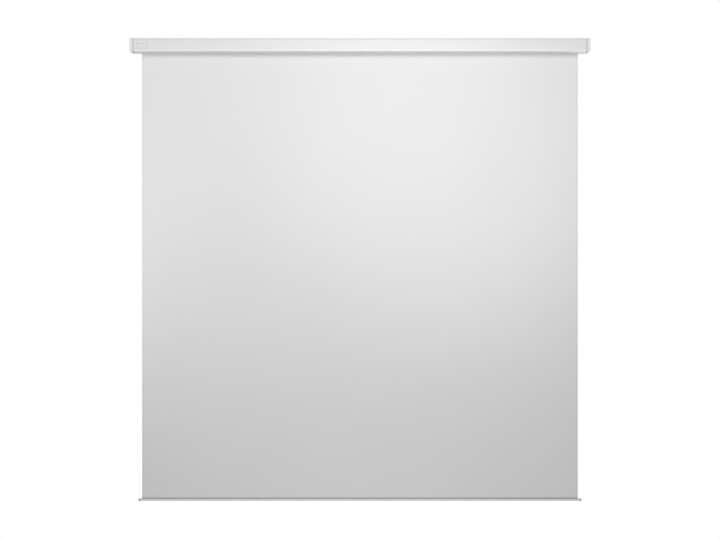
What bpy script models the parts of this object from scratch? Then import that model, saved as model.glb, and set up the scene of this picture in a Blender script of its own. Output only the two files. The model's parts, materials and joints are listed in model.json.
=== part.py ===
"""Motorised projector screen that hangs on a wall, modelled with its fabric fully lowered.

Metres, +Z up, the projection side faces -Y and +X is the viewer's right. The origin is on the wall,
in the middle of the casing's back face and level with the roller's axis. Sections are drawn in the
YZ plane and run along X. Pieces on the roller's axis are drawn round that axis and moved to it.
"""

import math

import bmesh
import bpy
from mathutils import Matrix, Vector

# Clearances
SEAT_GAP = 0.0003
RUNNING_GAP = 0.0004

# Fabric
FABRIC_WIDTH = 2.0
FABRIC_DROP = 2.0438
FABRIC_THICKNESS = 0.00035
FABRIC_FROM_WALL = 0.014

# Roller tube, the slot for the fabric's edge cord, and the turns that stay on the tube
TUBE_RADIUS = 0.019
TUBE_WALL = 0.0012
TUBE_PAST_FABRIC = 0.0037
EDGE_CORD_RADIUS = 0.0009
EDGE_SLOT_DEPTH = 0.0014
EDGE_SLOT_MOUTH = 0.001
EDGE_SLOT_WALL = 0.0008
SAFETY_TURNS = 1.25
TURN_GAP = 0.0004
FEED_BEND = 0.0004

# Weight rod in the fabric's pocket
ROD_RADIUS = 0.0042
ROD_WALL = 0.0009
POCKET_EASE = 0.00045
POCKET_PEAK = 0.0022
WELD_HEIGHT = 0.007
ROD_NECK = 0.006
KNOB_LENGTH = 0.0115
KNOB_RADIUS = 0.0062
KNOB_EDGE = 0.0009
KNOB_DOME = 0.0028
KNOB_CENTRE_FLAT = 0.0004
KNOB_SOCKET = 0.0085
ROD_SHOWS = 0.003

# Casing
CASE_WALL = 0.001
TOP_BEVEL_HEIGHT = 0.0088
TOP_BEVEL_DEPTH = 0.0052
BEVEL_EDGE_RADIUS = 0.0016
FRONT_EDGE_RADIUS = 0.0024
BACK_EDGE_RADIUS = 0.002
LIP_RADIUS = 0.0015
LIP_HEIGHT = 0.006
SLOT_EASE = 0.0035
ROLL_ROOM_IN_FRONT = 0.0018
ROLL_ROOM_ABOVE = 0.004

# End brackets and end caps
ROD_END_ROOM = 0.0015
BRACKET_SHEET = 0.002
BRACKET_FLANGE = 0.044
BRACKET_BEND = 0.001
BRACKET_TOP_ROOM = 0.0006
CAP_PLUG_ROOM = 0.0005
CAP_PLUG_DEPTH = 0.005
CAP_NECK = 0.0091
CAP_NECK_DEPTH = 0.0016
CAP_RIM = 0.0119
CAP_RIM_RADIUS = 0.004
CAP_PROUD = 0.001
CAP_FACE = 0.0035
CAP_WALL = 0.002
CAP_EDGE_RADIUS = 0.003

# Fixings
SCREW_RADIUS = 0.002
SCREW_TIP = 0.0004
SCREW_HEAD_RADIUS = 0.0036
SCREW_HEAD_HEIGHT = 0.0024
SCREW_HEAD_SIDE = 0.0014
SCREW_HEAD_CROWN = 0.0025
SCREW_CROSS = 0.0032
SCREW_CROSS_WIDTH = 0.0008
SCREW_POST_WALL = 0.0016
SCREW_INSET_FRONT = 0.0108
SCREW_INSET_REAR = 0.0105
SCREW_FROM_TOP = 0.0114
SCREW_FROM_BOTTOM = 0.0132
RIVET_RADIUS = 0.0015
RIVET_HEAD_RADIUS = 0.0028
RIVET_TAIL_HEIGHT = 0.0012
RIVET_FROM_PLATE = 0.037
RIVET_SPREAD = 0.03
KEYHOLE_FROM_PLATE = 0.021
KEYHOLE_ENTRY_RADIUS = 0.0045
KEYHOLE_SLOT_RADIUS = 0.0023
KEYHOLE_RISE = 0.01
KEYHOLE_ENTRY_DROP = 0.004

# Tubular motor
MOTOR_RADIUS = 0.014
MOTOR_LENGTH = 0.43
MOTOR_BEAD = 0.0008
BEAD_FROM_HEAD = 0.03
BEAD_FROM_NOSE = 0.02
GEARBOX_LENGTH = 0.09
MOTOR_NOSE_RADIUS = 0.0068
MOTOR_NOSE_LENGTH = 0.0016
HEAD_RADIUS = 0.018
HEAD_EDGE = 0.0008
SPIGOT_SIDE = 0.01
SPIGOT_PAST_BRACKET = 0.0042
CABLE_ARM_REACH = 0.030
CABLE_ARM_ANGLE = 50.0
CABLE_ARM_WALL = 0.0012
CROWN_LENGTH = 0.01
PLUG_FLANGE = 0.002
PLUG_FLANGE_RADIUS = 0.0187
SHAFT_RADIUS = 0.004
SHAFT_FLAT = 0.003
SHAFT_PAST_WHEEL = 0.002
WHEEL_LENGTH = 0.012
WHEEL_HUB_RADIUS = 0.0065
WHEEL_RIM_INNER_RADIUS = 0.0128
WHEEL_WINDOWS = 5
WHEEL_WINDOW_ANGLE = 52.0
LIMIT_SCREW_RADIUS = 0.0022
LIMIT_SCREW_LENGTH = 0.0055
LIMIT_SCREW_EDGE = 0.0004
LIMIT_SCREW_SOCKET = 0.0028
LIMIT_SCREW_ANGLES = (-52.0, -64.0)
LIMIT_SCREW_OFFSET = 0.0024
LIMIT_SCREW_HEX = 0.0026

# Idler end
PIN_RADIUS = 0.004
PIN_SQUARE = 0.0064
PIN_CHAMFER = 0.001
PIN_PAST_PLUG = 0.004
BUSH_RADIUS = 0.007
BUSH_FLANGE_RADIUS = 0.009
BUSH_FLANGE = 0.0015
SPACER_RADIUS = 0.0065
IDLER_PLUG_LENGTH = 0.029
IDLER_POCKET_FLOOR = 0.003
IDLER_HUB_WALL = 0.002
IDLER_POCKETS = 6
IDLER_POCKET_ANGLE = 43.5

# Retaining clips
CLIP_THICKNESS = 0.0008
CLIP_SPAN = 0.0045
CLIP_OPENING = 70.0
CLIP_GROOVE_DEPTH = 0.0008

# Radio receiver, supply inlet and leads
RECEIVER_LENGTH = 0.11
RECEIVER_WIDTH = 0.013
RECEIVER_HEIGHT = 0.011
RECEIVER_CORNER = 0.0014
RECEIVER_FROM_END = 0.0905
RECEIVER_COVER = 0.002
LEAD_RADIUS = 0.0023
LEAD_SOCKET = 0.003
LEAD_SPACING = 0.006
SUPPLY_LEAD_FROM_WALL = 0.0095
SUPPLY_LEAD_HEIGHT = 0.009
INLET_WIDTH = 0.011
INLET_HEIGHT = 0.018
INLET_DEPTH = 0.019
INLET_ROUNDNESS = 0.72
INLET_FLANGE_MARGIN = 0.002
INLET_FLANGE = 0.0012
INLET_CAVITY_WALL = 0.00175
INLET_CAVITY_DEPTH = 0.0105
INLET_PIN_RADIUS = 0.0012
INLET_PIN_SPACING = 0.0086
INLET_PIN_LENGTH = 0.0135
INLET_PIN_BELOW_FACE = 0.003
INLET_LEAD_WALL = 0.0012
LEAD_RISE_LENGTH = 0.0352
LEAD_RISE_FORWARD = 0.0022
LEAD_RISE_BELOW = 0.0015
GROMMET_LIP = 0.001
GROMMET_WALL = 0.0012

# Blank cover plate, held behind the wall with its panel in a window of the casing's front
PLATE_WIDTH = 0.0496
PLATE_HEIGHT = 0.022
PLATE_CORNER = 0.0012
PLATE_PANEL = 0.0007
PLATE_EDGE = 0.0002
PLATE_GAP = 0.0008
PLATE_END_GAP = 0.0006
PLATE_FLANGE = 0.0006
PLATE_FLANGE_MARGIN = 0.0024
PLATE_FROM_BRACKET = 0.0006
PLATE_BELOW_AXIS = 0.0064

# Facets
SHARP_ANGLE = 30.0
SQUARE_CORNER = 0.125
ROUND_STEPS = 40
SMALL_ROUND_STEPS = 24
SCREW_STEPS = 16
CORD_STEPS = 12
SLOT_STEPS = 10
NOTCH_STEPS = 8
CORNER_STEPS = 4
CAP_EDGE_STEPS = 3
KNOB_DOME_STEPS = 4
SECTOR_STEPS = 4
FEED_STEPS = 4
WINDING_STEPS = 44

# The fabric's path: the turns on the roller, the hanging sheet and the full roll
TURN_PITCH = FABRIC_THICKNESS + TURN_GAP
FIRST_TURN_RADIUS = TUBE_RADIUS + SEAT_GAP + FABRIC_THICKNESS / 2
HANG_RADIUS = FIRST_TURN_RADIUS + SAFETY_TURNS * TURN_PITCH
FULL_ROLL_RADIUS = (
    math.sqrt(TUBE_RADIUS**2 + FABRIC_DROP * FABRIC_THICKNESS / math.pi)
    + SAFETY_TURNS * FABRIC_THICKNESS
)

# The casing's section
AXIS_FROM_WALL = FABRIC_FROM_WALL + HANG_RADIUS
CASE_DEPTH = AXIS_FROM_WALL + FULL_ROLL_RADIUS + ROLL_ROOM_IN_FRONT + CASE_WALL
CASE_HALF_HEIGHT = FULL_ROLL_RADIUS + ROLL_ROOM_ABOVE + CASE_WALL
FIT_INSET = CASE_WALL + SEAT_GAP
POCKET_RADIUS = ROD_RADIUS + POCKET_EASE + FABRIC_THICKNESS
SLOT_HALF = POCKET_RADIUS + SLOT_EASE
LIP_TOP = -CASE_HALF_HEIGHT + LIP_HEIGHT

# The weight rod's place and its travel
ROD_HEIGHT = -CASE_HALF_HEIGHT - FABRIC_DROP - POCKET_RADIUS
TRAVEL = FABRIC_DROP + 2 * POCKET_RADIUS - ROD_SHOWS
WELD_TOP = POCKET_RADIUS + POCKET_PEAK + WELD_HEIGHT

# Stations along X, from the fabric's edge outwards
ROD_END = FABRIC_WIDTH / 2 + ROD_NECK + KNOB_LENGTH
BRACKET_INNER = ROD_END + ROD_END_ROOM
BRACKET_OUTER = BRACKET_INNER + BRACKET_SHEET
PLUG_END = BRACKET_OUTER + CAP_PLUG_ROOM
CASE_END = PLUG_END + CAP_PLUG_DEPTH
CAP_END = CASE_END + CAP_NECK + CAP_RIM
TUBE_END = FABRIC_WIDTH / 2 + TUBE_PAST_FABRIC
FLANGE_INNER = TUBE_END + SEAT_GAP
FLANGE_OUTER = FLANGE_INNER + PLUG_FLANGE
HEAD_INNER = FLANGE_OUTER + RUNNING_GAP
HEAD_OUTER = BRACKET_INNER - SEAT_GAP

# The slot cavity for the edge cord, at the top of the tube
CAVITY_RADIUS = EDGE_CORD_RADIUS + SEAT_GAP
CAVITY_HEIGHT = TUBE_RADIUS - EDGE_SLOT_DEPTH
KEY_RADIUS = CAVITY_RADIUS + EDGE_SLOT_WALL
TUBE_BORE = TUBE_RADIUS - TUBE_WALL
INSERT_RADIUS = TUBE_BORE - SEAT_GAP

LEFT = -1
RIGHT = 1


# Outlines in a plane

def arc(centre, radius, start, end, steps):
    """Points along an arc, angles in radians, both ends included."""
    angles = [start + (end - start) * i / steps for i in range(steps + 1)]
    return [(centre[0] + radius * math.cos(a), centre[1] + radius * math.sin(a)) for a in angles]


def corner_points(before, corner, after, radius, inset, steps):
    """The rounded corner of an outline that has its inside on the left, moved inwards by inset."""
    point = Vector(corner)
    arriving = (point - Vector(before)).normalized()
    leaving = (Vector(after) - point).normalized()
    turn = arriving.x * leaving.y - arriving.y * leaving.x
    inward = Vector((-arriving.y, arriving.x)) + Vector((-leaving.y, leaving.x))
    moved = point + inward * inset / (1 + arriving.dot(leaving))
    sign = 1 if turn > 0 else -1
    bend = radius - sign * inset
    if radius == 0 or bend <= 0:
        return [tuple(moved)]
    half_turn = math.acos(max(-1.0, min(1.0, arriving.dot(leaving)))) / 2
    start = moved - arriving * bend * math.tan(half_turn)
    centre = start + Vector((-arriving.y, arriving.x)) * sign * bend
    first = math.atan2(start.y - centre.y, start.x - centre.x)
    return arc(centre, bend, first, first + sign * 2 * half_turn, steps)


def rounded(corners, inset=0.0, steps=CORNER_STEPS):
    """A closed outline through corners (a, b, radius), anticlockwise."""
    points = []
    for i, corner in enumerate(corners):
        before = corners[i - 1][:2]
        after = corners[(i + 1) % len(corners)][:2]
        points += corner_points(before, corner[:2], after, corner[2], inset, steps)
    return points


def folded_sheet(corners, wall):
    """The section of a folded sheet whose outer side follows corners and whose inside is on the left."""
    sides = []
    for inset in (0.0, wall):
        side = []
        for i in range(1, len(corners) - 1):
            side += corner_points(
                corners[i - 1][:2], corners[i][:2], corners[i + 1][:2], corners[i][2], inset, CORNER_STEPS
            )
        ends = []
        for end, towards, back in ((0, 1, 1), (-1, -2, -1)):
            point = Vector(corners[end][:2])
            along = (Vector(corners[towards][:2]) - point).normalized() * back
            ends.append(tuple(point + Vector((-along.y, along.x)) * inset))
        sides.append([ends[0]] + side + [ends[1]])
    return sides[0] + sides[1][::-1]


def rectangle(width, height, radius, centre=(0.0, 0.0)):
    """A rounded rectangle."""
    right = centre[0] + width / 2
    left = centre[0] - width / 2
    top = centre[1] + height / 2
    bottom = centre[1] - height / 2
    corners = [(right, bottom, radius), (right, top, radius), (left, top, radius), (left, bottom, radius)]
    return rounded(corners)


def square(side, grow=0.0, centre=(0.0, 0.0)):
    """The section of a square bar with eased corners, or of the hole round it."""
    return rectangle(side + 2 * grow, side + 2 * grow, side * SQUARE_CORNER, centre)


def circle(radius, steps=ROUND_STEPS, centre=(0.0, 0.0)):
    """A closed circle."""
    return arc(centre, radius, 0, math.tau * (steps - 1) / steps, steps - 1)


def sector(inner, outer, start, end, steps):
    """Part of a flat ring between two angles in radians."""
    return arc((0, 0), outer, start, end, steps) + arc((0, 0), inner, end, start, steps)


def sectors(inner, outer, count, width):
    """Equal parts of a flat ring, each width degrees wide, clear of the tube's key at the top."""
    half = math.radians(width) / 2
    middles = [math.pi / 2 + math.tau * (i + 0.5) / count for i in range(count)]
    return [sector(inner, outer, middle - half, middle + half, SECTOR_STEPS) for middle in middles]


def thickened(path, thickness):
    """A strip of even thickness along an open path."""
    sides = ([], [])
    for i, point in enumerate(path):
        here = Vector(point)
        arriving = (here - Vector(path[i - 1])).normalized() if i else None
        leaving = (Vector(path[i + 1]) - here).normalized() if i + 1 < len(path) else arriving
        arriving = arriving or leaving
        across = Vector((-arriving.y - leaving.y, arriving.x + leaving.x)) / (1 + arriving.dot(leaving))
        sides[0].append(tuple(here + across * thickness / 2))
        sides[1].append(tuple(here - across * thickness / 2))
    return sides[0] + sides[1][::-1]


def keyed_circle(radius, bite):
    """A circle with a round bite out of its top, for the tube's key; starts beside the bite."""
    reach = (radius**2 + CAVITY_HEIGHT**2 - bite**2) / (2 * CAVITY_HEIGHT)
    side = math.sqrt(radius**2 - reach**2)
    start = math.atan2(reach, side)
    first = math.atan2(reach - CAVITY_HEIGHT, side)
    round_part = arc((0, 0), radius, math.pi - start, start + math.tau, ROUND_STEPS)
    notch = arc((0, CAVITY_HEIGHT), bite, first, -math.pi - first, NOTCH_STEPS)
    return round_part + notch[1:-1]


def same_angles(outline, radius):
    """A circle with a point at each outline point's angle."""
    angles = [math.atan2(b, a) for a, b in outline]
    return [(radius * math.cos(a), radius * math.sin(a)) for a in angles]


# Solids

def material(name, colour, roughness, metallic=0.0):
    """A plain Principled material."""
    made = bpy.data.materials.new(name)
    made.use_nodes = True
    shader = made.node_tree.nodes["Principled BSDF"]
    shader.inputs["Base Color"].default_value = (*colour, 1.0)
    shader.inputs["Roughness"].default_value = roughness
    shader.inputs["Metallic"].default_value = metallic
    return made


def spread(axis, along, a, b):
    """A point of a section at a place along the axis that the section is extruded on."""
    return {"X": (along, a, b), "Y": (a, along, b), "Z": (a, b, along)}[axis]


def loft(rings, closed=False):
    """Skin rings of equally many points; an open loft is capped at both ends."""
    bm = bmesh.new()
    loops = [[bm.verts.new(p) for p in ring] for ring in rings]
    pairs = list(zip(loops, loops[1:]))
    if closed:
        pairs.append((loops[-1], loops[0]))
    else:
        bm.faces.new(loops[0])
        bm.faces.new(loops[-1])
    for one, other in pairs:
        for i in range(len(one)):
            j = (i + 1) % len(one)
            bm.faces.new((one[i], one[j], other[j], other[i]))
    return bm


def prism(outline, low, high, axis="X"):
    """An outline extruded between two places along an axis."""
    return loft([[spread(axis, at, a, b) for a, b in outline] for at in (low, high)])


def section_rings(sections):
    """Rings along X from (x, outline) pairs."""
    return [[(x, a, b) for a, b in outline] for x, outline in sections]


def turned(profile, steps=ROUND_STEPS, closed=False):
    """A profile of (x, radius) turned round X; an open profile is capped with flat faces."""
    return loft(section_rings([(x, circle(r, steps)) for x, r in profile]), closed)


def box(low, high):
    """A box between two corners."""
    outline = [(low[1], low[2]), (high[1], low[2]), (high[1], high[2]), (low[1], high[2])]
    return prism(outline, low[0], high[0])


def placed(bm, matrix):
    """The same mesh moved by a matrix."""
    bmesh.ops.transform(bm, matrix=matrix, verts=bm.verts)
    return bm


def joined(parts):
    """Separate bodies in one mesh, for a cutter."""
    whole = bmesh.new()
    for part in parts:
        mesh = bpy.data.meshes.new("part")
        part.to_mesh(mesh)
        part.free()
        whole.from_mesh(mesh)
        bpy.data.meshes.remove(mesh)
    return whole


def piece(name, bm, look, parent=None, location=(0.0, 0.0, 0.0)):
    """A named object from a mesh, smooth but for its sharp edges."""
    bmesh.ops.recalc_face_normals(bm, faces=bm.faces)
    mesh = bpy.data.meshes.new(name)
    bm.to_mesh(mesh)
    bm.free()
    mesh.shade_smooth()
    mesh.set_sharp_from_angle(angle=math.radians(SHARP_ANGLE))
    if look:
        mesh.materials.append(look)
    made = bpy.data.objects.new(name, mesh)
    bpy.context.scene.collection.objects.link(made)
    made.location = location
    made.parent = parent
    return made


def shape(target, bm, operation="DIFFERENCE"):
    """Cut a solid out of a piece, join one to it or keep what they share; drawn in the piece's own axes."""
    tool = piece(f"{target.name}.{operation.lower()}.{len(target.modifiers)}", bm, None, target)
    tool.hide_render = True
    tool.display_type = "WIRE"
    cut = target.modifiers.new(tool.name, "BOOLEAN")
    cut.operation = operation
    cut.solver = "EXACT"
    cut.object = tool


def carrier(name, location, parent=None):
    """An empty on a joint's axis that carries what moves with it."""
    made = bpy.data.objects.new(name, None)
    bpy.context.scene.collection.objects.link(made)
    made.location = location
    made.parent = parent
    return made


def smooth_route(points, per_span=5):
    """A smooth curve through a lead's own points, straight where they lie in line."""
    places = [Vector(p) for p in points]
    last = len(places) - 1
    headings = [(places[min(i + 1, last)] - places[max(i - 1, 0)]).normalized() for i in range(last + 1)]
    route = []
    for i in range(last):
        here, there = places[i], places[i + 1]
        reach = (there - here).length
        for k in range(per_span):
            t = k / per_span
            ends = here * (2 * t**3 - 3 * t**2 + 1) + there * (3 * t**2 - 2 * t**3)
            pull = headings[i] * (t**3 - 2 * t**2 + t) + headings[i + 1] * (t**3 - t**2)
            route.append(ends + pull * reach)
    return route + [places[-1]]


def lead(name, points, look):
    """A round lead along a route."""
    curve = bpy.data.curves.new(name, "CURVE")
    curve.dimensions = "3D"
    curve.bevel_depth = LEAD_RADIUS
    curve.bevel_resolution = 2
    curve.use_fill_caps = True
    route = smooth_route(points)
    spline = curve.splines.new("POLY")
    spline.points.add(len(route) - 1)
    for target, point in zip(spline.points, route):
        target.co = (*point, 1.0)
    curve.materials.append(look)
    made = bpy.data.objects.new(name, curve)
    bpy.context.scene.collection.objects.link(made)
    return made


# Casing

def case_corners(back=0.0):
    """The casing's outline, anticlockwise from below the wall side."""
    half = CASE_HALF_HEIGHT
    return [
        (back, -half, BACK_EDGE_RADIUS),
        (back, half, BACK_EDGE_RADIUS),
        (TOP_BEVEL_DEPTH - CASE_DEPTH, half, BEVEL_EDGE_RADIUS),
        (-CASE_DEPTH, half - TOP_BEVEL_HEIGHT, BEVEL_EDGE_RADIUS),
        (-CASE_DEPTH, -half, FRONT_EDGE_RADIUS),
    ]


def cap_corners():
    """The cap's outline, proud of the casing; two arcs make each round upper front corner."""
    back_radius = BACK_EDGE_RADIUS + CAP_PROUD
    high = CASE_HALF_HEIGHT + CAP_PROUD
    far = -CASE_DEPTH - CAP_PROUD
    cut = CAP_RIM_RADIUS * (2 - math.sqrt(2))
    return [
        (0, -high, back_radius),
        (0, high, back_radius),
        (far + cut, high, CAP_RIM_RADIUS),
        (far, high - cut, CAP_RIM_RADIUS),
        (far, -high, FRONT_EDGE_RADIUS + CAP_PROUD),
    ]


def keyhole(x, grow):
    """The outline of a keyhole in the XZ plane: a round entry with a slot rising from it."""
    entry = KEYHOLE_ENTRY_RADIUS + grow
    slot = KEYHOLE_SLOT_RADIUS + grow
    low = -KEYHOLE_ENTRY_DROP
    side = math.asin(slot / entry)
    bottom = arc((x, low), entry, math.pi / 2 + side, math.pi * 5 / 2 - side, SCREW_STEPS)
    top = arc((x, low + KEYHOLE_RISE), slot, 0, math.pi, NOTCH_STEPS)
    return bottom + top


def case_shell(look):
    """Folded sheet casing, open along the fabric's slot, with turned-in lips."""
    half = CASE_HALF_HEIGHT
    rear = -FABRIC_FROM_WALL + SLOT_HALF
    front = -FABRIC_FROM_WALL - SLOT_HALF
    corners = [(rear, LIP_TOP, 0), (rear, -half, LIP_RADIUS), *case_corners()]
    corners += [(front, -half, LIP_RADIUS), (front, LIP_TOP, 0)]
    shell = piece("case_shell", prism(folded_sheet(corners, CASE_WALL), -CASE_END, CASE_END), look)
    cuts = []
    for side in (LEFT, RIGHT):
        hole = keyhole(side * (BRACKET_INNER - KEYHOLE_FROM_PLATE), SEAT_GAP)
        cuts.append(prism(hole, -2 * CASE_WALL, CASE_WALL, "Y"))
        for height in rivet_heights():
            hole_tool = turned(rivet_profile(SEAT_GAP), SCREW_STEPS)
            cuts.append(along_y(hole_tool, rivet_place(side), height))
    shape(shell, joined(cuts))
    shape(shell, prism(plate_outline(PLATE_GAP), -CASE_DEPTH - CASE_WALL, -CASE_DEPTH + 2 * CASE_WALL, "Y"))


def plate_outline(grow, shorter=0.0):
    """The cover plate's outline in the XZ plane, grown all round and made shorter at its inner end."""
    length = PLATE_WIDTH - shorter
    middle = -BRACKET_INNER + PLATE_FROM_BRACKET + PLATE_FLANGE_MARGIN + length / 2
    size = (length + 2 * grow, PLATE_HEIGHT + 2 * grow)
    return rectangle(*size, PLATE_CORNER + grow, (middle, -PLATE_BELOW_AXIS))


def front_cover_plate(look):
    """Blank plate behind the casing's front: its panel stands in the window, below the casing's face."""
    seat = -CASE_DEPTH + CASE_WALL + SEAT_GAP
    stations = [
        (seat - PLATE_PANEL, plate_outline(-PLATE_EDGE, PLATE_END_GAP)),
        (seat - PLATE_PANEL + PLATE_EDGE, plate_outline(0.0, PLATE_END_GAP)),
        (seat, plate_outline(0.0, PLATE_END_GAP)),
        (seat, plate_outline(PLATE_FLANGE_MARGIN)),
        (seat + PLATE_FLANGE, plate_outline(PLATE_FLANGE_MARGIN)),
    ]
    rings = [[(a, y, b) for a, b in outline] for y, outline in stations]
    piece("front_cover_plate", loft(rings), look)


# End brackets and their rivets

def rivet_place(side):
    """Where the rivets stand along X."""
    return side * (BRACKET_INNER - RIVET_FROM_PLATE)


def rivet_heights():
    """The two rivets' heights."""
    return (RIVET_SPREAD / 2, -RIVET_SPREAD / 2)


def rivet_profile(grow):
    """A flush countersunk rivet from the casing's back face inwards, as depth and radius."""
    face = SEAT_GAP / 3
    head = CASE_WALL + SEAT_GAP
    tail = head + BRACKET_SHEET + SEAT_GAP
    profile = [(face, RIVET_HEAD_RADIUS + grow), (head, RIVET_RADIUS + grow)]
    if grow:
        before = (-CASE_WALL, RIVET_HEAD_RADIUS + grow)
        return [before] + profile + [(2 * CASE_WALL, RIVET_RADIUS + grow)]
    dome = [
        (tail + RIVET_TAIL_HEIGHT * math.sin(a), RIVET_HEAD_RADIUS * math.cos(a))
        for a in (0, math.pi / 6, math.pi / 3)
    ]
    return profile + [(tail, RIVET_RADIUS)] + dome


def along_y(bm, x, z):
    """Turn a piece drawn along +X so that it runs from the wall into the casing."""
    turn = Matrix.Rotation(-math.pi / 2, 4, "Z")
    return placed(bm, Matrix.Translation((x, 0, z)) @ turn)


def rivets(look):
    """Two rivets through the casing's back and each bracket's flange."""
    for side, end in ((LEFT, "left"), (RIGHT, "right")):
        for height, level in zip(rivet_heights(), ("upper", "lower")):
            bm = turned(rivet_profile(0.0), SCREW_STEPS)
            piece(f"bracket_rivet_{end}_{level}", along_y(bm, rivet_place(side), height), look)


def screw_places():
    """The cap screws: upper front and lower rear, in the YZ plane."""
    upper = (-CASE_DEPTH + SCREW_INSET_FRONT, CASE_HALF_HEIGHT - SCREW_FROM_TOP)
    lower = (-SCREW_INSET_REAR, -CASE_HALF_HEIGHT + SCREW_FROM_BOTTOM)
    return (("upper", upper), ("lower", lower))


def bracket(name, side, socket, look):
    """Pressed angle plate that carries one end of the roller; drawn on the right, mirrored for the left."""
    back = -FIT_INSET
    front = -CASE_DEPTH - CASE_WALL
    face = back - BRACKET_SHEET
    toe = BRACKET_INNER - BRACKET_FLANGE
    corners = [
        (BRACKET_OUTER, front, 0),
        (BRACKET_OUTER, back, BRACKET_BEND + BRACKET_SHEET),
        (toe, back, 0),
        (toe, face, 0),
        (BRACKET_INNER, face, BRACKET_BEND),
        (BRACKET_INNER, front, 0),
    ]
    bottom = LIP_TOP + 2 * SEAT_GAP
    top = CASE_HALF_HEIGHT - CASE_WALL - BRACKET_TOP_ROOM
    plate = piece(name, placed(prism(rounded(corners), bottom, top, "Z"), mirror(side)), look)
    inside = rounded(case_corners(back=BRACKET_SHEET), FIT_INSET)
    room = placed(prism(inside, toe - CASE_WALL, BRACKET_OUTER + CASE_WALL), mirror(side))
    shape(plate, room, "INTERSECT")
    through = (BRACKET_INNER - BRACKET_SHEET, BRACKET_OUTER + BRACKET_SHEET)
    holes = [prism(square(socket, SEAT_GAP, (-AXIS_FROM_WALL, 0)), *through)]
    for _, place in screw_places():
        holes.append(prism(circle(SCREW_RADIUS + SEAT_GAP, SCREW_STEPS, place), *through))
    if side == LEFT:
        opening = circle(grommet_groove() + SEAT_GAP, SMALL_ROUND_STEPS, supply_lead_place())
        holes.append(prism(opening, *through))
    flange = (face - BRACKET_SHEET / 2, back + SEAT_GAP / 2)
    slot = keyhole(BRACKET_INNER - KEYHOLE_FROM_PLATE, 0.0)
    holes.append(prism(slot, *flange, "Y"))
    for height in rivet_heights():
        place = (BRACKET_INNER - RIVET_FROM_PLATE, height)
        holes.append(prism(circle(RIVET_RADIUS + SEAT_GAP, SCREW_STEPS, place), *flange, "Y"))
    shape(plate, placed(joined(holes), mirror(side)))


def mirror(side):
    """Nothing for the right end, a mirror across X for the left."""
    return Matrix.Scale(side, 4, (1, 0, 0)) if side == LEFT else Matrix.Identity(4)


# End caps and their screws

def end_cap(name, side, look):
    """Moulded cap: a proud rim, a sunk neck and a hollow plug that sits in the casing."""
    rim = cap_corners()
    stations = []
    for step in range(CAP_EDGE_STEPS + 1):
        angle = math.pi / 2 * step / CAP_EDGE_STEPS
        inset = CAP_EDGE_RADIUS * (1 - math.sin(angle))
        stations.append((CAP_END - CAP_EDGE_RADIUS * (1 - math.cos(angle)), ring_of(rim, inset)))
    neck = ring_of(case_corners(), CAP_NECK_DEPTH)
    neck_hollow = ring_of(case_corners(), CAP_NECK_DEPTH + CAP_WALL)
    plug = ring_of(case_corners(), FIT_INSET)
    plug_hollow = ring_of(case_corners(), FIT_INSET + CAP_WALL)
    shoulder = CASE_END - SEAT_GAP
    stations += [
        (CAP_END - CAP_RIM, ring_of(rim, 0.0)),
        (CAP_END - CAP_RIM, neck),
        (shoulder, neck),
        (shoulder, plug),
        (PLUG_END, plug),
        (PLUG_END, plug_hollow),
        (shoulder - CAP_WALL, plug_hollow),
        (shoulder - CAP_WALL, neck_hollow),
        (CAP_END - CAP_RIM + CAP_WALL, neck_hollow),
        (CAP_END - CAP_RIM + CAP_WALL, ring_of(rim, CAP_WALL)),
        (CAP_END - CAP_FACE, ring_of(rim, CAP_WALL)),
    ]
    cap = piece(name, placed(loft(section_rings(stations)), mirror(side)), look)
    posts = []
    holes = []
    head_seat = CAP_END - SCREW_HEAD_HEIGHT - 2 * SEAT_GAP
    bore = SCREW_RADIUS + SEAT_GAP
    for _, place in screw_places():
        post = circle(bore + SCREW_POST_WALL, SCREW_STEPS, place)
        posts.append(prism(post, PLUG_END, CAP_END - CAP_FACE / 2))
        holes.append(prism(circle(bore, SCREW_STEPS, place), PLUG_END - CAP_WALL, head_seat + SEAT_GAP))
    shape(cap, placed(joined(posts), mirror(side)), "UNION")
    shape(cap, placed(joined(holes), mirror(side)))
    heads = []
    for _, place in screw_places():
        head = circle(SCREW_HEAD_RADIUS + SEAT_GAP, SCREW_STEPS, place)
        heads.append(prism(head, head_seat, CAP_END + CAP_WALL))
    shape(cap, placed(joined(heads), mirror(side)))
    low = (PLUG_END - CAP_WALL, -FABRIC_FROM_WALL - SLOT_HALF - FIT_INSET, -CASE_HALF_HEIGHT - CAP_WALL)
    top = (CASE_END + SEAT_GAP, -FABRIC_FROM_WALL + SLOT_HALF + FIT_INSET, LIP_TOP + SEAT_GAP)
    shape(cap, placed(box(low, top), mirror(side)))
    if side == LEFT:
        recess = rounded(inlet_corners(INLET_FLANGE_MARGIN), -SEAT_GAP)
        opening = rounded(inlet_corners(0.0), -SEAT_GAP)
        seat = CAP_END - INLET_FLANGE - 2 * SEAT_GAP
        shape(cap, placed(prism(recess, seat, CAP_END + CAP_WALL), mirror(side)))
        shape(cap, placed(prism(opening, CAP_END - 2 * CAP_FACE, CAP_END), mirror(side)))


def ring_of(corners, inset):
    """An outline with the same number of points whatever its inset."""
    smallest = min(corner[2] for corner in corners)
    if inset < smallest:
        return rounded(corners, inset)
    eased = [(a, b, max(radius, inset + SEAT_GAP)) for a, b, radius in corners]
    return rounded(eased, inset)


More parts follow.
